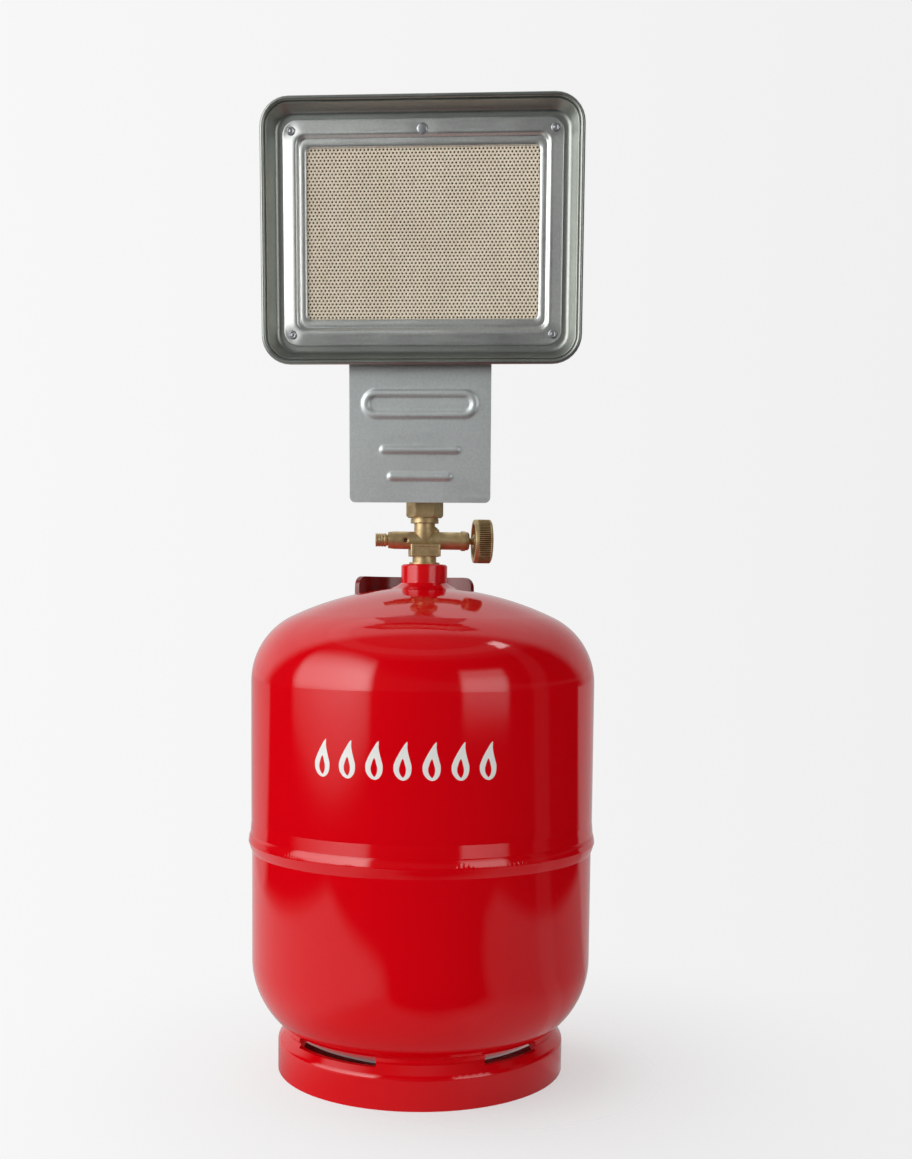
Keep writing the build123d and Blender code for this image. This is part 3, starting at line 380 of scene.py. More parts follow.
class HeaterStage(bpy.types.PropertyGroup):
    """Studio and camera."""

    background: FloatProperty(name="Background", description="Brightness of the backdrop", default=0.905)
    light: FloatProperty(name="Light", description="Brightness of the lamps and the paper", default=0.88)
    lens: FloatProperty(name="Lens", description="Focal length", default=0.04397, unit="CAMERA")
    floor_radius: length("Floor radius", 12000.0, "Radius of the floor")


# ------------------------------------------------------------------ node helpers
def node(tree, kind, links=(), curve=(), ramp=(), **settings):
    """Adds one node, with its links by name or in the order of those of its inputs that are in use.

    A link is a value, an output, or another node, which stands for its first output in use. A map range takes
    a value, the range it lies in and the range it is brought to. A curve is a row of points of its line, and
    a ramp a row of places and colours.
    """
    made = tree.nodes.new("ShaderNode" + kind)
    for name, value in settings.items():
        setattr(made, name, value)
    in_use = [socket for socket in made.inputs if socket.enabled]
    for name, value in links.items() if isinstance(links, dict) else enumerate(links):
        socket = made.inputs[name] if isinstance(name, str) else in_use[name]
        if isinstance(value, bpy.types.Node):
            value = next(output for output in value.outputs if output.enabled)
        if isinstance(value, bpy.types.NodeSocket):
            tree.links.new(value, socket)
        else:
            socket.default_value = (*value, 1.0) if socket.type == "RGBA" else value
    if curve:
        line = made.mapping.curves[0].points
        made.mapping.use_clip = False
        made.mapping.extend = "HORIZONTAL"
        line[0].location, line[-1].location = curve[0], curve[-1]
        for spot in curve[1:-1]:
            line.new(*spot)
        for spot in line:
            spot.handle_type = "AUTO_CLAMPED"
        made.mapping.update()
    for index, (position, shade) in enumerate(ramp):
        stops = made.color_ramp.elements
        stop = stops[index] if index < 2 else stops.new(position)
        stop.position = position
        stop.color = (*shade, 1.0)
    return made


def new_material(name):
    """The node tree of a new material, and the object's own coordinates in it."""
    material = bpy.data.materials.new(name)
    material.use_nodes = True
    tree = material.node_tree
    tree.nodes.clear()
    return tree, node(tree, "TexCoord").outputs["Object"]


def toned(tree, base, pattern, darkest, lightest, low=0.3, high=0.7):
    """A colour made darker where a pattern is low and lighter where it is high."""
    value = node(tree, "MapRange", (pattern, low, high, darkest, lightest))
    return node(tree, "HueSaturation", {"Color": base, "Value": value})


def bearing(tree, x, y):
    """Angle about Z of a place or direction, from straight ahead, which is -Y, towards +X."""
    ahead = node(tree, "Math", (y, -1.0), operation="MULTIPLY")
    return node(tree, "Math", (x, ahead), operation="ARCTAN2")


# ------------------------------------------------------------------ finishes
def gloss_enamel(name, base, roughness, lumps=0.0, ink=None):
    """Alkyd enamel, sprayed and baked on steel.

    The eye gets a hard wet gloss, a faint orange peel, sheet that isn't quite true and a few dust nibs under
    the paint. Over a weld, lumps of a millimetre or two break the gloss up.
    """
    tree, place = new_material(name)
    peel, wave, bead, cloud = (
        node(tree, "TexNoise", {"Vector": place, "Scale": per_millimetre(size), "Detail": detail})
        for size, detail in ((2.5, 2.0), (45, 1.0), (1.8, 1.0), (110, 3.0))
    )
    nib = node(tree, "TexVoronoi", {"Vector": place, "Scale": per_millimetre(26)})
    height = node(tree, "MapRange", (nib, 0.012, 0.03, 1.0, 0.0))
    for pattern, share in ((peel, 0.12), (bead, lumps), (wave, 1.6)):
        height = node(tree, "Math", (pattern, share, height), operation="MULTIPLY_ADD")
    bump = node(tree, "Bump", {"Height": height, "Strength": 0.35, "Distance": 0.0001})
    shade = toned(tree, base, cloud, 0.95, 1.05, 0.0, 1.0)
    if ink:
        printed = flame_print(tree, place)
        shade = node(tree, "Mix", (printed, shade, ink), data_type="RGBA")
        roughness = node(tree, "MapRange", (printed, 0.0, 1.0, roughness, INK_ROUGHNESS))
    enamel = node(tree, "BsdfPrincipled", {
        "Base Color": shade, "Roughness": roughness, "IOR": ALKYD_IOR, "Normal": bump,
    })
    node(tree, "OutputMaterial", (enamel,))


def flame_print(tree, place):
    """Mask of the row of plain flames that is screen-printed round the front of the cylinder."""
    size = in_millimetres(bpy.context.scene.print_sizes)
    x, y, z = node(tree, "SeparateXYZ", (place,)).outputs
    arc = node(tree, "Math", (bearing(tree, x, y), size.radius), operation="MULTIPLY")
    column = node(tree, "Math", (arc, 1 / size.pitch, size.count / 2), operation="MULTIPLY_ADD")
    across = node(tree, "Math", (column,), operation="FRACT")
    span = node(tree, "Math", (arc,), operation="ABSOLUTE")
    mask = node(tree, "Math", (span, size.count * size.pitch / 2), operation="LESS_THAN")
    rise = node(tree, "MapRange", (z, size.low * MILLIMETRE, size.high * MILLIMETRE))
    lean = node(tree, "FloatCurve", {"Value": rise}, curve=FLAME_LEAN)
    middle = node(tree, "Math", (across, lean), operation="SUBTRACT")
    away = node(tree, "Math", (middle,), operation="ABSOLUTE")
    for outline, outside in ((FLAME_OUTLINE, 0.0), (FLAME_HEART, 1.0)):
        half = node(tree, "FloatCurve", {"Value": rise}, curve=outline)
        margin = node(tree, "Math", (half, away), operation="SUBTRACT")
        ink = node(tree, "MapRange", (margin, -INK_EDGE, INK_EDGE, outside, 1 - outside))
        mask = node(tree, "Math", (mask, ink), operation="MULTIPLY")
    return mask


def brass_finish(name, colours, tarnish_and_shade, roughness):
    """Free-cutting brass, turned on a lathe and handled since.

    The eye gets a dull golden sheen, fine tool marks round each diameter and a thin brown film in patches.
    """
    tree, place = new_material(name)
    edge = node(tree, "Bevel", {"Radius": BROKEN_EDGE}, samples=4)
    film = node(tree, "TexNoise", {"Vector": place, "Scale": per_millimetre(5.5), "Detail": 6.0})
    # a low share of film is the real film in patches; a high one is the painted shade of the handwheel's
    # flutes
    patch = node(tree, "MapRange", (film, 0.4, 0.72, tarnish_and_shade, tarnish_and_shade + 0.5))
    base = node(tree, "Mix", (patch, colours.brass, colours.tarnish), data_type="RGBA")
    tool = node(tree, "TexNoise", {"Vector": place, "Scale": per_millimetre(0.9), "Detail": 4.0})
    bump = node(tree, "Bump", {"Height": tool, "Strength": 0.25, "Distance": 0.00008, "Normal": edge})
    rough = node(tree, "MapRange", (film, 0.3, 0.7, roughness - 0.07, roughness + 0.1))
    brass = node(tree, "BsdfPrincipled", {
        "Base Color": base, "Metallic": FILMED_METAL, "Roughness": rough, "Normal": bump,
    })
    node(tree, "OutputMaterial", (brass,))


def sheet_metal(name, base, roughness, marks, heated=None):
    """Cold-rolled steel sheet, pressed to shape.

    The eye gets a broad grey sheen with fine rolling lines along its width, soft clouds of handling marks,
    and on a hot piece the straw and brown of heated steel towards its middle.
    """
    tree, place = new_material(name)
    edge = node(tree, "Bevel", {"Radius": BROKEN_EDGE}, samples=4)
    drawn = node(tree, "Mapping", {"Vector": place, "Scale": (0.06, 1.0, 1.0)})
    lines, cloud, speck = (
        node(tree, "TexNoise", {"Vector": along, "Scale": per_millimetre(size), "Detail": detail})
        for along, size, detail in ((drawn, 1.1, 3.0), (place, 28, 4.0), (place, 1.6, 2.0))
    )
    mixed = node(tree, "Math", (lines, cloud), operation="ADD")
    rough = node(tree, "MapRange", (mixed, 0.6, 1.4, roughness - 0.06, roughness + 0.06))
    shade = toned(tree, base, speck, 0.95, 1.05)
    if heated:
        away = node(tree, "VectorMath", (place, heated), operation="DISTANCE")
        wander = node(tree, "Math", (cloud, 0.05, away), operation="MULTIPLY_ADD")
        heat = node(tree, "ValToRGB", (wander,), ramp=[(far, linear(code)) for far, code in HEAT_TINTS])
        shade = node(tree, "Mix", (1.0, shade, heat), data_type="RGBA", blend_type="MULTIPLY")
    bump = node(tree, "Bump", {"Height": mixed, "Strength": marks, "Distance": 0.00005, "Normal": edge})
    steel = node(tree, "BsdfPrincipled", {
        "Base Color": shade, "Metallic": 1.0, "Roughness": rough, "Normal": bump,
    })
    node(tree, "OutputMaterial", (steel,))


def fired_ceramic(name, head, colours):
    """Cordierite, pressed with its holes and fired.

    The eye gets a chalky, warm beige, with light and shade painted by depth: a painted highlight makes the
    tips between the holes nearly white, and painted shade makes the slopes browner and the holes dark. The
    grit is drawn at 1.2 mm, coarser than the real one, to show.
    """
    tree, place = new_material(name)
    sink = node(tree, "VectorMath", (place, (0.0, cos(head.tilt), sin(head.tilt))), operation="DOT_PRODUCT")
    plane = (head.height * sin(head.tilt) - head.front * cos(head.tilt) + head.plaque_depth) * MILLIMETRE
    depth = node(tree, "MapRange", (sink, plane, plane + HOLE_SHADE_DEPTH))
    grit, stain = (
        node(tree, "TexNoise", {"Vector": place, "Scale": per_millimetre(size), "Detail": detail})
        for size, detail in ((1.2, 4.0), (18, 3.0))
    )
    uneven = node(tree, "Math", (stain, 0.12, depth), operation="MULTIPLY_ADD")
    # painted light by depth: near-white tips as a painted highlight, browner slopes and dark holes as painted
    # shade
    shade = node(tree, "ValToRGB", (uneven,), ramp=[
        (0.08, colours.ceramic_tip), (1.0, colours.soot), (0.28, colours.ceramic),
        (0.42, colours.ceramic_edge), (0.75, colours.soot),
    ])
    tone = toned(tree, shade, grit, 0.88, 1.1)
    bump = node(tree, "Bump", {"Height": grit, "Strength": 0.4, "Distance": 0.0001})
    ceramic = node(tree, "BsdfPrincipled", {"Base Color": tone, "Roughness": 0.92, "Normal": bump})
    node(tree, "OutputMaterial", (ceramic,))


def dull_solid(name, base, roughness, grain, contrast):
    """Moulded rubber or felted fibre.

    The eye gets no gloss, and a fine speckle at the size of its grain in millimetres.
    """
    tree, place = new_material(name)
    speck = node(tree, "TexNoise", {"Vector": place, "Scale": per_millimetre(grain), "Detail": 5.0})
    shade = toned(tree, base, speck, 1 - contrast, 1 + contrast, 0.0, 1.0)
    bump = node(tree, "Bump", {"Height": speck, "Strength": 0.3, "Distance": 0.0001})
    solid = node(tree, "BsdfPrincipled", {"Base Color": shade, "Roughness": roughness, "Normal": bump})
    node(tree, "OutputMaterial", (solid,))


def woven_gauze(name, base):
    """Woven steel wire.

    The eye gets a fine weave, darker where it is low as painted shade between the wires. The wires are drawn
    0.75 mm apart, coarser than the real ones.
    """
    tree, place = new_material(name)
    # a wave texture has one band in each tenth of pi
    scale = pi / 10 * per_millimetre(0.754)
    height = 1.0
    for direction in ("X", "Y"):
        wires = node(tree, "TexWave", {"Vector": place, "Scale": scale}, bands_direction=direction)
        height = node(tree, "Math", (wires, height), operation="MULTIPLY")
    # painted shade: the weave is darkened where it is low, between the wires
    shade = toned(tree, base, height, 0.4, 1.0, 0.0, 1.0)
    bump = node(tree, "Bump", {"Height": height, "Distance": 0.0001})
    wire = node(tree, "BsdfPrincipled", {
        "Base Color": shade, "Metallic": 1.0, "Roughness": 0.35, "Normal": bump,
    })
    node(tree, "OutputMaterial", (wire,))


# ------------------------------------------------------------------ studio
def soft_boxes(tree, azimuth, rise):
    """Radiance of the lamps in a direction, given by its azimuth from the front and its rise in degrees."""
    light = 0.0
    for across, up, middle, bow, slant in LAMPS:
        bowed = rise
        side = node(tree, "Math", (azimuth, middle), operation="SUBTRACT")
        square = node(tree, "Math", (side, side), operation="MULTIPLY")
        for distance, bend in ((square, bow), (side, slant)):
            if bend:
                much = node(tree, "FloatCurve", {"Value": rise}, curve=bend)
                bowed = node(tree, "Math", (distance, much, bowed), operation="MULTIPLY_ADD")
        share = node(tree, "FloatCurve", {"Value": azimuth}, curve=across)
        strength = node(tree, "FloatCurve", {"Value": bowed}, curve=up)
        light = node(tree, "Math", (share, strength, light), operation="MULTIPLY_ADD")
    return light


def studio_world(settings):
    """A dark room in front, two soft boxes and a small lamp, and white paper behind and overhead.

    The camera sees a plain pale backdrop instead, a little brighter on the left.
    """
    world = bpy.data.worlds.new("studio")
    world.use_nodes = True
    tree = world.node_tree
    tree.nodes.clear()
    towards = node(tree, "TexCoord").outputs["Generated"]
    x, y, z = node(tree, "SeparateXYZ", (towards,)).outputs
    lift = node(tree, "Math", (z,), operation="ARCSINE")
    azimuth, rise = (node(tree, "Math", (turn,), operation="DEGREES") for turn in (bearing(tree, x, y), lift))
    behind = node(tree, "VectorMath", (towards, PAPER_TOWARDS), operation="DOT_PRODUCT")
    paper = node(tree, "MapRange", (behind, *PAPER_EDGE), interpolation_type="SMOOTHSTEP")
    glow = node(tree, "FloatCurve", {"Value": rise}, curve=PAPER_GLOW)
    lit_paper = node(tree, "Math", (paper, glow), operation="MULTIPLY")
    sideways = node(tree, "Math", (x, PAPER_DIMMING, 1.0), operation="MULTIPLY_ADD")
    lamps = soft_boxes(tree, azimuth, rise)
    white = node(tree, "Math", (lit_paper, sideways, lamps), operation="MULTIPLY_ADD")
    room = node(tree, "FloatCurve", {"Value": rise}, curve=ROOM_GLOW)
    light = node(tree, "Math", (white, room), operation="ADD")
    level = node(tree, "Math", (light, settings.light), operation="MULTIPLY")
    tones = [settings.background + tone for tone in BACKDROP_TONES]
    backdrop = node(tree, "MapRange", (x, *BACKDROP_STRETCH, *tones))
    path = node(tree, "LightPath").outputs
    seen = node(tree, "Math", (path["Is Camera Ray"], path["Is Transmission Ray"]), operation="MAXIMUM")
    strength = node(tree, "Mix", (seen, level, backdrop))
    surface = node(tree, "Background", ((1.0, 1.0, 1.0), strength))
    node(tree, "OutputWorld", (surface,))
    return world


def floor_paper(name, settings):
    """Matt white backdrop paper: it shows the object's shadow near it and is clear to the backdrop elsewhere.

    Gloss rays see it glow with painted light: a painted reflection of a lit sheet that ends in front of the
    object, with the lamps' lower ends painted beyond it.
    """
    tree, place = new_material(name)
    path = node(tree, "LightPath").outputs
    fibres = node(tree, "TexNoise", {"Vector": place, "Scale": per_millimetre(3), "Detail": 3.0})
    tone = node(tree, "MapRange", (fibres, 0.0, 1.0, 0.87, 0.89))
    paper = node(tree, "BsdfDiffuse", {"Color": tone})
    away = node(tree, "VectorMath", (place,), operation="LENGTH")
    off = node(tree, "VectorMath", (place, SHADOW_MIDDLE), operation="DISTANCE")
    fade = node(tree, "FloatCurve", {"Value": off}, curve=PAPER_FADE)
    outside = node(tree, "Math", (away, FOOT_RADIUS), operation="GREATER_THAN")
    clearing = node(tree, "Math", (fade, outside), operation="MULTIPLY")
    seen = node(tree, "Math", (clearing, path["Is Camera Ray"]), operation="MULTIPLY")
    shown = node(tree, "MixShader", (seen, paper, node(tree, "BsdfTransparent")))

    # for gloss rays only, the floor glows: a painted reflection of lit paper and of the lamps
    x, y, _ = node(tree, "SeparateXYZ", (place,)).outputs
    drop = node(tree, "Math", (-PAINTED_LAMP_HEIGHT, away), operation="ARCTAN2")
    azimuth, rise = (node(tree, "Math", (turn,), operation="DEGREES") for turn in (bearing(tree, x, y), drop))
    sheet = node(tree, "FloatCurve", {"Value": x}, curve=FLOOR_ACROSS)
    reach = node(tree, "FloatCurve", {"Value": x}, curve=FLOOR_FRONT)
    inward = node(tree, "Math", (y, reach), operation="ADD")
    front = node(tree, "MapRange", (inward, 0.0, FLOOR_EDGE))
    near = node(tree, "Math", (sheet, front), operation="MULTIPLY")
    side = node(tree, "Math", (x,), operation="ABSOLUTE")
    further = y
    for distance, slope in zip((side, x), FAR_SLOPES):
        further = node(tree, "Math", (distance, slope, further), operation="MULTIPLY_ADD")
    behind = node(tree, "MapRange", (further, *FAR_EDGE, 0.0, FAR_GLOW))
    painted_paper_glow = node(tree, "Math", (near, behind), operation="MAXIMUM")
    light = node(tree, "Math", (painted_paper_glow, soft_boxes(tree, azimuth, rise)), operation="ADD")
    level = node(tree, "Math", (light, settings.light), operation="MULTIPLY")
    painted_reflection = node(tree, "Emission", {"Strength": level})
    surface = node(tree, "MixShader", (path["Is Glossy Ray"], shown, painted_reflection))
    node(tree, "OutputMaterial", (surface,))
    bpy.data.materials[name].cycles.emission_sampling = "NONE"


# ------------------------------------------------------------------ mesh helpers
def in_millimetres(group):
    """The sizes of a group in millimetres, and its angles in radians."""
    sizes = {}
    for name in group.__annotations__:
        value = getattr(group, name)
        is_length = group.bl_rna.properties[name].unit == "LENGTH"
        sizes[name] = value / MILLIMETRE if is_length else value
    return type("Sizes", (), sizes)


def piece(name, bm, finishes, body, replaced, place=Matrix.Identity(4)):
    """Turns a mesh drawn in millimetres into a finished piece that rides on a body."""
    bmesh.ops.transform(bm, matrix=Matrix.Scale(MILLIMETRE, 4) @ place, verts=bm.verts)
    mesh = bpy.data.meshes.new(name)
    bm.to_mesh(mesh)
    bm.free()
    for finish in finishes:
        mesh.materials.append(bpy.data.materials[finish])
    mesh.shade_smooth()
    mesh.set_sharp_from_angle(angle=radians(CREASE))
    made = bpy.data.objects.new(name, mesh)
    bpy.context.scene.collection.objects.link(made)
    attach(made, body)
    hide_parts(*replaced)


def closed_up(bm):
    """Merges what touches and turns every face outwards."""
    bmesh.ops.remove_doubles(bm, verts=bm.verts, dist=0.0005)
    bmesh.ops.recalc_face_normals(bm, faces=bm.faces)
    return bm


def lathe(points, steps, closed=True):
    """Mesh turned about Z from an outline of radius and height."""
    bm = bmesh.new()
    corners = [bm.verts.new((radius, 0, height)) for radius, height in points]
    pairs = list(zip(corners, corners[1:] + corners[:1] if closed else corners[1:]))
    lines = [bm.edges.new(pair) for pair in pairs]
    bmesh.ops.spin(
        bm, geom=corners + lines, cent=(0, 0, 0), axis=(0, 0, 1), dvec=(0, 0, 0),
        angle=2 * pi, steps=steps, use_merge=True, use_normal_flip=False, use_duplicate=False,
    )
    return closed_up(bm)


def rounded(corners):
    """Points of a closed line whose corners, each given as x, y and radius, are rounded."""
    points = []
    for index, (x, y, radius) in enumerate(corners):
        here = Vector((x, y))
        if not radius:
            points.append(tuple(here))
            continue
        back = (Vector(corners[index - 1][:2]) - here).normalized()
        ahead = (Vector(corners[(index + 1) % len(corners)][:2]) - here).normalized()
        half = back.angle(ahead) / 2
        middle = here + (back + ahead).normalized() * radius / sin(half)
        start = here + back * radius / tan(half) - middle
        sweep = (pi - 2 * half) * (1 if back.cross(ahead) < 0 else -1)
        count = max(1, ceil(abs(degrees(sweep)) / ARC_STEP))
        for number in range(count + 1):
            points.append(tuple(middle + Matrix.Rotation(sweep * number / count, 2) @ start))
    return points


def ring_points(width, tall, corner, depth):
    """Points round a rounded rectangle square to the burner's axis, at a depth behind the rim."""
    points = []
    for quarter, (side, up) in enumerate(((1, 1), (-1, 1), (-1, -1), (1, -1))):
        for step in range(CORNER_STEPS + 1):
            turn = (quarter + step / CORNER_STEPS) * pi / 2
            x = side * (width / 2 - corner) + corner * cos(turn)
            z = up * (tall / 2 - corner) + corner * sin(turn)
            points.append(Vector((x, depth, z)))
    return points


def drawn_out(bm, edges):
    """Extrudes edges, and gives the new corners and the new edges between them."""
    made = bmesh.ops.extrude_edge_only(bm, edges=edges)["geom"]
    corners = [item for item in made if isinstance(item, bmesh.types.BMVert)]
    lines = [item for item in made if isinstance(item, bmesh.types.BMEdge)]
    fresh = set(corners)
    return corners, [line for line in lines if fresh.issuperset(line.verts)]


def skin(rings, closed=False):
    """Mesh over a row of rounded rectangles, each given as width, height, corner and depth."""
    bm = bmesh.new()
    row = bmesh.ops.create_circle(bm, segments=4 * (CORNER_STEPS + 1), radius=1)["verts"]
    for vert, point in zip(row, ring_points(*rings[0])):
        vert.co = point
    loop = list(bm.edges)
    for ring in rings[1:] + rings[:1] * closed:
        order = {tuple(vert.co): index for index, vert in enumerate(row)}
        fresh, loop = drawn_out(bm, loop)
        row = sorted(fresh, key=lambda vert: order[tuple(vert.co)])
        for vert, point in zip(row, ring_points(*ring)):
            vert.co = point
    if not closed:
        bmesh.ops.holes_fill(bm, edges=[edge for edge in bm.edges if edge.is_boundary])
    return closed_up(bm)


def between(first, second, share):
    """Ring part of the way between two others."""
    return tuple(a + (b - a) * share for a, b in zip(first, second))


def grown(ring, by, deeper=0.0):
    """Ring with an even margin all round it, and set deeper."""
    return ring[0] + 2 * by, ring[1] + 2 * by, ring[2] + by, ring[3] + deeper


def join(bm, other):
    """Adds another mesh to this one."""
    spare = bpy.data.meshes.new("spare")
    other.to_mesh(spare)
    other.free()
    bm.from_mesh(spare)
    bpy.data.meshes.remove(spare)


def repeated(bm, count, step):
    """Copies of a mesh in a row, joined into one mesh, and doubled up to keep the number of steps small."""
    total = bmesh.new()
    made = 0
    block, size = bm, 1
    while made < count:
        if (count >> (size.bit_length() - 1)) & 1:
            shifted = block.copy()
            bmesh.ops.translate(shifted, vec=step * made, verts=shifted.verts)
            join(total, shifted)
            made += size
        doubled = block.copy()
        bmesh.ops.translate(doubled, vec=step * size, verts=doubled.verts)
        join(block, doubled)
        size *= 2
    block.free()
    return total


def head_place(head):
    return Matrix.Translation((0, -head.front, head.height)) @ Matrix.Rotation(head.tilt, 4, "X")


def rivet_places(head):
    """Places of the four corner rivets, sideways and upwards from the head's middle."""
    return [(side * head.rivet_across, up * head.rivet_up) for side in (-1, 1) for up in (-1, 1)]


def arm_place(valve):
    """Place of a piece drawn about Z that lies along the valve's cross arm."""
    lift = Matrix.Translation((0, 0, valve.arm_height))
    return lift @ Matrix.Rotation(valve.turn, 4, "Z") @ Matrix.Rotation(pi / 2, 4, "Y")


def pressed(point, rise, half, loop):
    """Height share of a pressed loop or bar at a point of the plate, soft at its edges."""
    beyond = max(abs(point.x) - half, 0.0)
    away = abs(hypot(beyond, point.y - rise) - loop)
    share = min(max((away - SWAGE_CREST) / SWAGE_SLOPE, 0.0), 1.0)
    return 1 - share * share * (3 - 2 * share)


# ------------------------------------------------------------------ pieces
class HEATER_OT_girth_weld(bpy.types.Operator):
    """Builds the weld round the cylinder's middle, smooth but for the beads along its crest"""

    bl_idname = "heater.girth_weld"
    bl_label = "Girth weld"

    def execute(self, context):
        size = in_millimetres(context.scene.cylinder_sizes)
        ripples = round(2 * pi * size.radius / size.ripple)
        tall = size.bead_high - size.bead_low
        crest, crest_height = size.bell + size.bead_crown, size.bead_low + 0.56 * tall
        outer = [
            (size.bell - 0.35, size.bead_high + 1.4), (size.bell + 0.1, size.bead_high + 0.4),
            (size.bell + 0.5, size.bead_high - 0.9), (crest - 0.22, crest_height + 2.1),
            (crest - 0.08, crest_height + 1.0), (crest, crest_height + 0.4), (crest, crest_height),
            (crest - 0.1, crest_height - 0.4), (crest - 0.3, crest_height - 0.9),
            (crest - 0.55, crest_height - 1.7), (crest - 0.95, crest_height - 3.1),
            (size.lower_radius + 0.55, size.bead_low + 0.14 * tall),
            (size.lower_radius - 0.25, size.bead_low - 0.5),
        ]
        inner = [(size.lower_radius - 1.6, size.bead_low), (size.lower_radius - 1.6, size.bead_high)]
        bm = lathe(outer + inner, ripples * RIPPLE_STEPS)
        for vert in bm.verts:
            x, y, z = vert.co
            reach = hypot(x, y)
            if reach < size.bell:
                continue
            # whole numbers of waves, so that the bead closes on itself
            turn = atan2(y, x)
            patch = max(0.0, sin(7 * turn + 1.3) * sin(12 * turn) + 0.45)
            along = sin(ripples * turn + 1.7 * sin(23 * turn)) * (0.6 + 0.4 * sin(41 * turn + 2.0))
            band = crest_height + BAND_WANDER * sin(19 * turn)
            near = BELL ** (-(((z - band) / BEAD_BAND) ** 2))
            lift = min(BEAD_LIFT * patch * along * near, crest - reach + 0.02)
            vert.co.x += lift * x / reach
            vert.co.y += lift * y / reach
            vert.co.z += BEAD_WANDER * sin(9 * turn) * near
        piece("girth_weld_bead", bm, ["red_gloss_enamel"], "cylinder", ["girth_weld"])
        return {"FINISHED"}


class HEATER_OT_handwheel(bpy.types.Operator):
    """Builds the fluted brass handwheel, with painted shade down in its flutes"""

    bl_idname = "heater.handwheel"
    bl_label = "Handwheel"

    def execute(self, context):
        size = in_millimetres(context.scene.valve_sizes)
        start, end, radius = size.wheel_place, size.wheel_place + size.wheel_width, size.wheel_radius
        band = 0.2 * size.wheel_width
        low, high = start + band, end - 0.6 * band
        screw, screw_head, hub, well = 2.0, 3.3, 4.2, start + 7.0
        rim = rounded([
            (radius - 2.4, start, 0.25), (radius - 0.35, start, 0.35), (radius, low - 0.9, 0.3),
            (radius, low - 0.3, 0.0), (radius, low, 0.0), (radius, low + 0.4, 0.0),
            (radius, (low + high) / 2, 0.0), (radius, high - 0.4, 0.0), (radius, high, 0.0),
            (radius, high + 0.3, 0.0), (radius - 0.25, end - 0.6, 0.3), (radius - 1.3, end, 0.4),
            (radius - 3.6, end, 0.5), (radius - 4.2, end - 0.7, 0.5), (hub + 0.4, end - 0.7, 0.5),
            (hub - 0.1, end, 0.3), (screw_head, end, 0.2), (screw_head, end - 1.6, 0.0),
            (screw, end - 1.6, 0.0), (screw, start, 0.0), (hub, start, 0.3), (hub, well, 0.4),
            (radius - 2.9, well, 0.8),
        ])
        bm = lathe(rim, size.flutes * FLUTE_STEPS)
        for vert in bm.verts:
            x, y, z = vert.co
            reach = hypot(x, y)
            if reach > radius - 0.1 and low - 0.1 < z < high + 0.1:
                share = 0.35 if z < low + 0.1 or z > high - 0.1 else 1.0
                inward = share * size.flute_depth * (0.5 - 0.5 * cos(size.flutes * atan2(y, x))) ** 1.3
                vert.co.x *= 1 - inward / reach
                vert.co.y *= 1 - inward / reach
        # the faces down in the flutes get the dark-filmed brass as painted shade
        for face in bm.faces:
            middle = face.calc_center_median()
            sunk = radius - 1.2 < hypot(middle.x, middle.y) < radius - 0.4 * size.flute_depth
            face.material_index = int(sunk and low < middle.z < high)
        finishes = ["machined_brass", "tarnished_brass"]
        piece("fluted_handwheel", bm, finishes, "spindle", ["handwheel"], arm_place(size))
        return {"FINISHED"}


class HEATER_OT_reflector(bpy.types.Operator):
    """Builds the pressed reflector dish with its wired rim"""

    bl_idname = "heater.reflector"
    bl_label = "Reflector dish"

    def execute(self, context):
        head = in_millimetres(context.scene.head_sizes)
        path = (head.width - 2 * head.bead, head.tall - 2 * head.bead, head.corner - head.bead, head.bead)
        mouth = grown(path, -head.bead, -head.bead)
        floor = (head.floor_width, head.floor_tall, head.floor_corner, head.floor_depth)
        hole = (head.window_width + FOLD_ACROSS, head.window_tall + HOLE_UP, FOLD_CORNER, head.floor_depth)

        def on_wall(share, depth_share):
            """Ring on the dish's wall."""
            return between(mouth, floor, share)[:3] + (depth_share * head.floor_depth,)

        rings = [hole, grown(floor, -1.3)]
        rings += [on_wall(*place) for place in reversed(DISH_WALL)]
        for step in range(WIRE_STEPS + 1):
            turn = radians(180 - 260 * step / WIRE_STEPS)
            rings.append(grown(path, head.bead * cos(turn), -head.bead * sin(turn)))
        rings += [grown(on_wall(share, deep), sheets * head.sheet) for share, deep, sheets in DISH_BACK]
        rings += [grown(floor, -0.5, head.sheet), grown(hole, 0.0, head.sheet)]
        tray = skin(rings, closed=True)
        place = head_place(head)
        piece("reflector_tray", tray, ["deep_drawn_sheet"], "head", ["reflector_dish"], place)
        return {"FINISHED"}


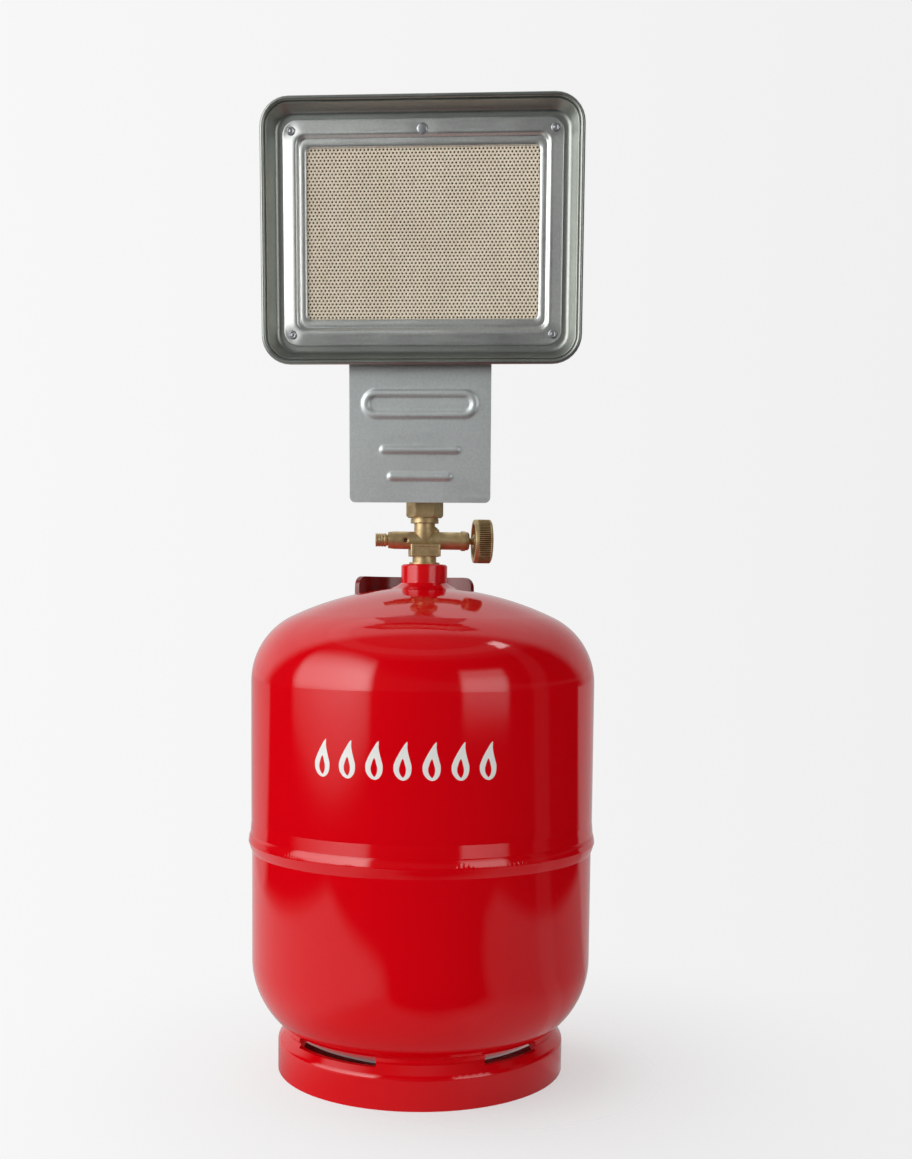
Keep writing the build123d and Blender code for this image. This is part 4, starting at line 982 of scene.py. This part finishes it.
class HEATER_OT_plaque_frame(bpy.types.Operator):
    """Builds the pressed frame round the plaque, dimpled round its fasteners"""

    bl_idname = "heater.plaque_frame"
    bl_label = "Plaque frame"

    def execute(self, context):
        head = in_millimetres(context.scene.head_sizes)
        face = head.floor_depth - head.sheet
        window = (head.window_width, head.window_tall, WINDOW_CORNER, head.plaque_depth)
        fold = (head.window_width + FOLD_ACROSS, head.window_tall + FOLD_UP, FOLD_CORNER, face)
        rim = (head.frame_width, head.frame_tall, FRAME_CORNER, face)
        rings = [window]
        for first, second, places in (
            (window, fold, FRAME_LIP), (fold, rim, FRAME_BAND), (fold, rim, [(0.92, head.sheet)]),
            (window, fold, FRAME_BACK),
        ):
            rings += [between(first, second, share)[:3] + (face + sink,) for share, sink in places]
        bm = skin(rings + [grown(window, 0.75)], closed=True)
        sides = [edge for edge in bm.edges if edge.calc_length() > 40]
        bmesh.ops.subdivide_edges(bm, edges=sides, cuts=FRAME_CUTS, use_grid_fill=True)
        dimples = [(x, z, *RIVET_DIMPLE) for x, z in rivet_places(head)]
        dimples.append((0, head.screw_up, *SCREW_DIMPLE))
        for vert in bm.verts:
            x, y, z = vert.co
            if y > face + 0.3:
                continue
            for across, up, deep, reach in dimples:
                away = hypot(x - across, z - up)
                vert.co.y += deep * BELL ** (-((away / reach) ** 2))
        place = head_place(head)
        piece("plaque_retainer", bm, ["bright_rolled_sheet"], "head", ["plaque_frame"], place)
        return {"FINISHED"}


class HEATER_OT_fasteners(bpy.types.Operator):
    """Builds the four rivets and the top screw"""

    bl_idname = "heater.fasteners"
    bl_label = "Rivets and screw"

    def execute(self, context):
        head = in_millimetres(context.scene.head_sizes)
        face = head.floor_depth - head.sheet

        def turned(profile, steps, x, z):
            """A turned piece that stands square to the frame's face, at a place seen from the front."""
            made = lathe([(radius, height - face) for radius, height in profile], steps, closed=False)
            bmesh.ops.transform(made, matrix=Matrix.Translation((x, 0, z)) @ UPRIGHT, verts=made.verts)
            return made

        rivets = bmesh.new()
        for x, z in rivet_places(head):
            grip = LOWER_GRIP if z < 0 else UPPER_GRIP
            tail = (
                (1.6, -0.05), (1.6, -grip), (2.4, -grip), (2.35, -grip - 0.4), (1.9, -grip - 0.8),
                (1.2, -grip - 0.9), (0, -grip - 0.9),
            )
            join(rivets, turned(RIVET_HEAD + tail, RIVET_STEPS, x, z))
        place = head_place(head)
        piece("dish_rivets", rivets, ["zinc_plated_steel"], "head", ["corner_rivets"], place)
        screw = turned(SCREW_PROFILE, SCREW_STEPS, 0, head.screw_up)
        piece("pan_head_screw", screw, ["zinc_plated_steel"], "head", ["top_screw"], place)
        return {"FINISHED"}


class HEATER_OT_plaque(bpy.types.Operator):
    """Builds the perforated ceramic plaque, with a raised tip between each three holes"""

    bl_idname = "heater.plaque"
    bl_label = "Ceramic plaque"

    def execute(self, context):
        head = in_millimetres(context.scene.head_sizes)
        corner = head.pitch / sqrt(3)
        cell = bmesh.new()
        mouth = bmesh.ops.create_circle(cell, segments=HOLE_STEPS, radius=head.hole)["verts"]
        border = bmesh.ops.create_circle(cell, segments=HOLE_STEPS, radius=corner)["verts"]
        for vert in border:
            turn = degrees(atan2(vert.co.y, vert.co.x)) % 60
            mid_side = abs(turn - 30) > 15
            reach = head.pitch / 2 if mid_side else corner
            vert.co *= reach / corner
            vert.co.z = SADDLE * head.tip if mid_side else head.tip
        bmesh.ops.bridge_loops(cell, edges=list(cell.edges))
        mouth_edges = [edge for edge in cell.edges if all(vert in mouth for vert in edge.verts)]
        sunk, bottom = drawn_out(cell, mouth_edges)
        bmesh.ops.translate(cell, vec=(0, 0, -head.hole_depth), verts=sunk)
        bmesh.ops.contextual_create(cell, geom=bottom)
        bmesh.ops.recalc_face_normals(cell, faces=cell.faces)
        # an open cell has no outside of its own, so its top is made to look out
        if max(cell.faces, key=lambda shape: shape.calc_area()).normal.z < 0:
            bmesh.ops.reverse_faces(cell, faces=cell.faces)
        rise = head.pitch * sqrt(3) / 2
        across = int((head.plaque_width - PLAIN_BORDER) / head.pitch)
        up = int((head.plaque_tall - PLAIN_BORDER) / rise) // 2
        row = repeated(cell, across, Vector((head.pitch, 0, 0)))
        pair = row.copy()
        bmesh.ops.translate(pair, vec=(head.pitch / 2, rise, 0), verts=pair.verts)
        join(row, pair)
        sheet = repeated(row, up, Vector((0, 2 * rise, 0)))
        bmesh.ops.remove_doubles(sheet, verts=sheet.verts, dist=TOUCHING)
        skirt, _ = drawn_out(sheet, [edge for edge in sheet.edges if edge.is_boundary])
        for vert in skirt:
            vert.co.z = -head.hole_depth - 0.1
        middle = Vector(((across - 0.5) * head.pitch / 2, (2 * up - 1) * rise / 2, 0))
        bmesh.ops.translate(sheet, vec=-middle, verts=sheet.verts)
        plane = head.plaque_depth + head.tip
        bmesh.ops.transform(sheet, matrix=Matrix.Translation((0, plane, 0)) @ UPRIGHT, verts=sheet.verts)
        size = (head.plaque_width, head.plaque_tall, PLAQUE_CORNER)
        back = head.plaque_depth + head.plaque_thick
        join(sheet, skin([(*size, plane + head.hole_depth + 0.05), (*size, back)]))
        place = head_place(head)
        piece("perforated_plaque", sheet, ["fired_cordierite"], "head", ["ceramic_plaque"], place)
        return {"FINISHED"}


class HEATER_OT_shield(bpy.types.Operator):
    """Builds the shield plate below the head, with softly pressed stiffening figures"""

    bl_idname = "heater.shield"
    bl_label = "Shield plate"

    def execute(self, context):
        head = in_millimetres(context.scene.head_sizes)
        size = in_millimetres(context.scene.shield_sizes)
        columns, rows = round(size.width / size.cell), round(size.tall / size.cell)
        bm = bmesh.new()
        bmesh.ops.create_grid(bm, x_segments=columns, y_segments=rows, size=0.5)
        bmesh.ops.scale(bm, vec=(size.width, size.tall, 1.0), verts=bm.verts)
        bmesh.ops.translate(bm, vec=(0, -size.top - size.tall / 2, 0), verts=bm.verts)
        arm_low = -size.top - round(size.arm_tall / size.tall * rows) * size.tall / rows
        half_width, low = size.width / 2, -size.top - size.tall
        side = [
            edge for edge in bm.edges
            if all(abs(v.co.x) > half_width - TOUCHING and v.co.y > arm_low - TOUCHING for v in edge.verts)
        ]
        arm = size.arm_reach - half_width
        reaches = [half_width + arm * step / ARM_STEPS for step in range(1, ARM_STEPS)]
        reaches += [size.arm_reach + size.corner * step / CORNER_STEPS for step in range(CORNER_STEPS + 1)]
        for reach in reaches:
            fresh, side = drawn_out(bm, side)
            for vert in fresh:
                vert.co.x = copysign(reach, vert.co.x)
        # the middle of each rounded corner on the right, and whether it is a lower or an upper one
        ends = [
            (half_width - size.corner, low + size.corner, -1),
            (size.arm_reach, arm_low + size.corner, -1), (size.arm_reach, -size.top - size.corner, 1),
        ]
        for vert in bm.verts:
            for across, up, way in ends:
                u = (abs(vert.co.x) - across) / size.corner
                v = (vert.co.y - up) * way / size.corner
                beyond = abs(vert.co.x) > half_width + TOUCHING
                if 0 < u <= 1.001 and 0 < v <= 1.001 and beyond == (across > half_width):
                    vert.co.x = copysign(across + size.corner * u * sqrt(1 - v * v / 2), vert.co.x)
                    vert.co.y = up + way * size.corner * v * sqrt(1 - u * u / 2)
        bmesh.ops.recalc_face_normals(bm, faces=bm.faces)
        if bm.faces[0].normal.z < 0:
            bmesh.ops.reverse_faces(bm, faces=bm.faces)
        for vert in bm.verts:
            shares = [pressed(vert.co, low + rise, half, loop) for rise, half, loop in SWAGES]
            vert.co.z = size.raised * max(shares)
        bmesh.ops.solidify(bm, geom=bm.faces[:], thickness=size.sheet)
        bmesh.ops.recalc_face_normals(bm, faces=bm.faces)
        hung = Matrix.Translation((-size.aside, head.floor_depth + head.sheet + size.sheet, 0)) @ UPRIGHT
        bmesh.ops.transform(bm, matrix=hung, verts=bm.verts)
        place = head_place(head)
        piece("pressed_shield", bm, ["rolled_steel_sheet"], "head", ["shield_plate"], place)
        return {"FINISHED"}


class HEATER_OT_stage(bpy.types.Operator):
    """Adds the floor, the studio light and the camera"""

    bl_idname = "heater.stage"
    bl_label = "Studio and camera"

    def execute(self, context):
        scene = context.scene
        settings = scene.heater_stage
        scene.world = studio_world(settings)
        bm = bmesh.new()
        bmesh.ops.create_circle(bm, cap_ends=True, segments=96, radius=settings.floor_radius)
        mesh = bpy.data.meshes.new("floor")
        bm.to_mesh(mesh)
        bm.free()
        floor_paper("white_backdrop_paper", settings)
        mesh.materials.append(bpy.data.materials["white_backdrop_paper"])
        floor = bpy.data.objects.new("floor", mesh)
        scene.collection.objects.link(floor)
        lens = bpy.data.cameras.new("camera")
        lens.lens = settings.lens * 1000
        lens.sensor_width = SENSOR_WIDTH
        lens.shift_y = CAMERA_SHIFT
        lens.clip_end = CAMERA_REACH
        camera = bpy.data.objects.new("camera", lens)
        turn = Matrix.Rotation(radians(CAMERA_TURN), 4, "Z")
        tilt = Matrix.Rotation(radians(90 - CAMERA_DOWN), 4, "X")
        roll = Matrix.Rotation(radians(CAMERA_ROLL), 4, "Z")
        camera.matrix_world = Matrix.Translation(CAMERA_PLACE) @ turn @ tilt @ roll
        scene.collection.objects.link(camera)
        scene.camera = camera
        scene.view_settings.view_transform = "Standard"
        return {"FINISHED"}


class HEATER_OT_finishes(bpy.types.Operator):
    """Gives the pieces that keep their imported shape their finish"""

    bl_idname = "heater.finishes"
    bl_label = "Finishes"

    def execute(self, context):
        colours = context.scene.heater_colours
        head = in_millimetres(context.scene.head_sizes)
        middle = tuple(sum(pair) / 2 for pair in zip(*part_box("burner_pan")))
        gloss_enamel("red_gloss_enamel", colours.enamel, roughness=0.08)
        gloss_enamel("printed_gloss_enamel", colours.enamel, roughness=0.08, ink=colours.print_ink)
        gloss_enamel("thick_gloss_enamel", colours.enamel, roughness=0.18, lumps=0.5)
        gloss_enamel("enamel_over_weld", colours.enamel, roughness=0.12, lumps=1.5)
        # the cylinder's enamel with a darker red, as painted shade on the guard
        gloss_enamel("dark_red_enamel", colours.guard, roughness=0.15)
        brass_finish("machined_brass", colours, tarnish_and_shade=0.05, roughness=0.46)
        # the dark-filmed brass paints shade into the handwheel's flutes
        brass_finish("tarnished_brass", colours, tarnish_and_shade=0.95, roughness=0.55)
        sheet_metal("rolled_steel_sheet", colours.plain_steel, roughness=0.54, marks=0.3)
        sheet_metal("heat_tinted_sheet", colours.drawn_steel, roughness=0.5, marks=0.3, heated=middle)
        sheet_metal("bright_rolled_sheet", colours.bright_steel, roughness=0.42, marks=0.08)
        sheet_metal("deep_drawn_sheet", colours.drawn_steel, roughness=0.42, marks=0.04)
        sheet_metal("zinc_plated_steel", colours.zinc, roughness=0.45, marks=0.15)
        dull_solid("moulded_rubber", colours.rubber, roughness=0.6, grain=1.2, contrast=0.1)
        dull_solid("ceramic_fibre_felt", colours.fibre, roughness=0.95, grain=1.7, contrast=0.15)
        fired_ceramic("fired_cordierite", head, colours)
        woven_gauze("woven_wire_gauze", colours.zinc)
        for part in frame["record"]["subparts"]:
            shape = frame["nodes"][part["node"]].data
            finish = NODE_FINISH.get(part["node"], SLOT_FINISH[part["material_slot"]])
            shape.materials.clear()
            shape.materials.append(bpy.data.materials[finish])
        return {"FINISHED"}


class HEATER_PT_panel(bpy.types.Panel):
    """Lists the heater's operators"""

    bl_label = "Portable propane heater"
    bl_idname = "HEATER_PT_panel"
    bl_space_type = "VIEW_3D"
    bl_region_type = "UI"
    bl_category = "Heater"

    def draw(self, context):
        for operator in OPERATORS:
            self.layout.operator(operator.bl_idname)


GROUPS = {
    "cylinder_sizes": CylinderSizes,
    "valve_sizes": ValveSizes,
    "head_sizes": HeadSizes,
    "shield_sizes": ShieldSizes,
    "print_sizes": PrintSizes,
    "heater_colours": HeaterColours,
    "heater_stage": HeaterStage,
}
OPERATORS = (
    HEATER_OT_stage,
    HEATER_OT_finishes,
    HEATER_OT_girth_weld,
    HEATER_OT_handwheel,
    HEATER_OT_reflector,
    HEATER_OT_plaque_frame,
    HEATER_OT_fasteners,
    HEATER_OT_plaque,
    HEATER_OT_shield,
)
CLASSES = (*GROUPS.values(), *OPERATORS, HEATER_PT_panel)


def register():
    for made in CLASSES:
        bpy.utils.register_class(made)
    for name, group in GROUPS.items():
        setattr(bpy.types.Scene, name, PointerProperty(type=group))


def unregister():
    for name in GROUPS:
        delattr(bpy.types.Scene, name)
    for made in reversed(CLASSES):
        bpy.utils.unregister_class(made)


def main():
    register()
    for operator in OPERATORS:
        family, action = operator.bl_idname.split(".")
        getattr(getattr(bpy.ops, family), action)()


if __name__ == "__main__":
    main()
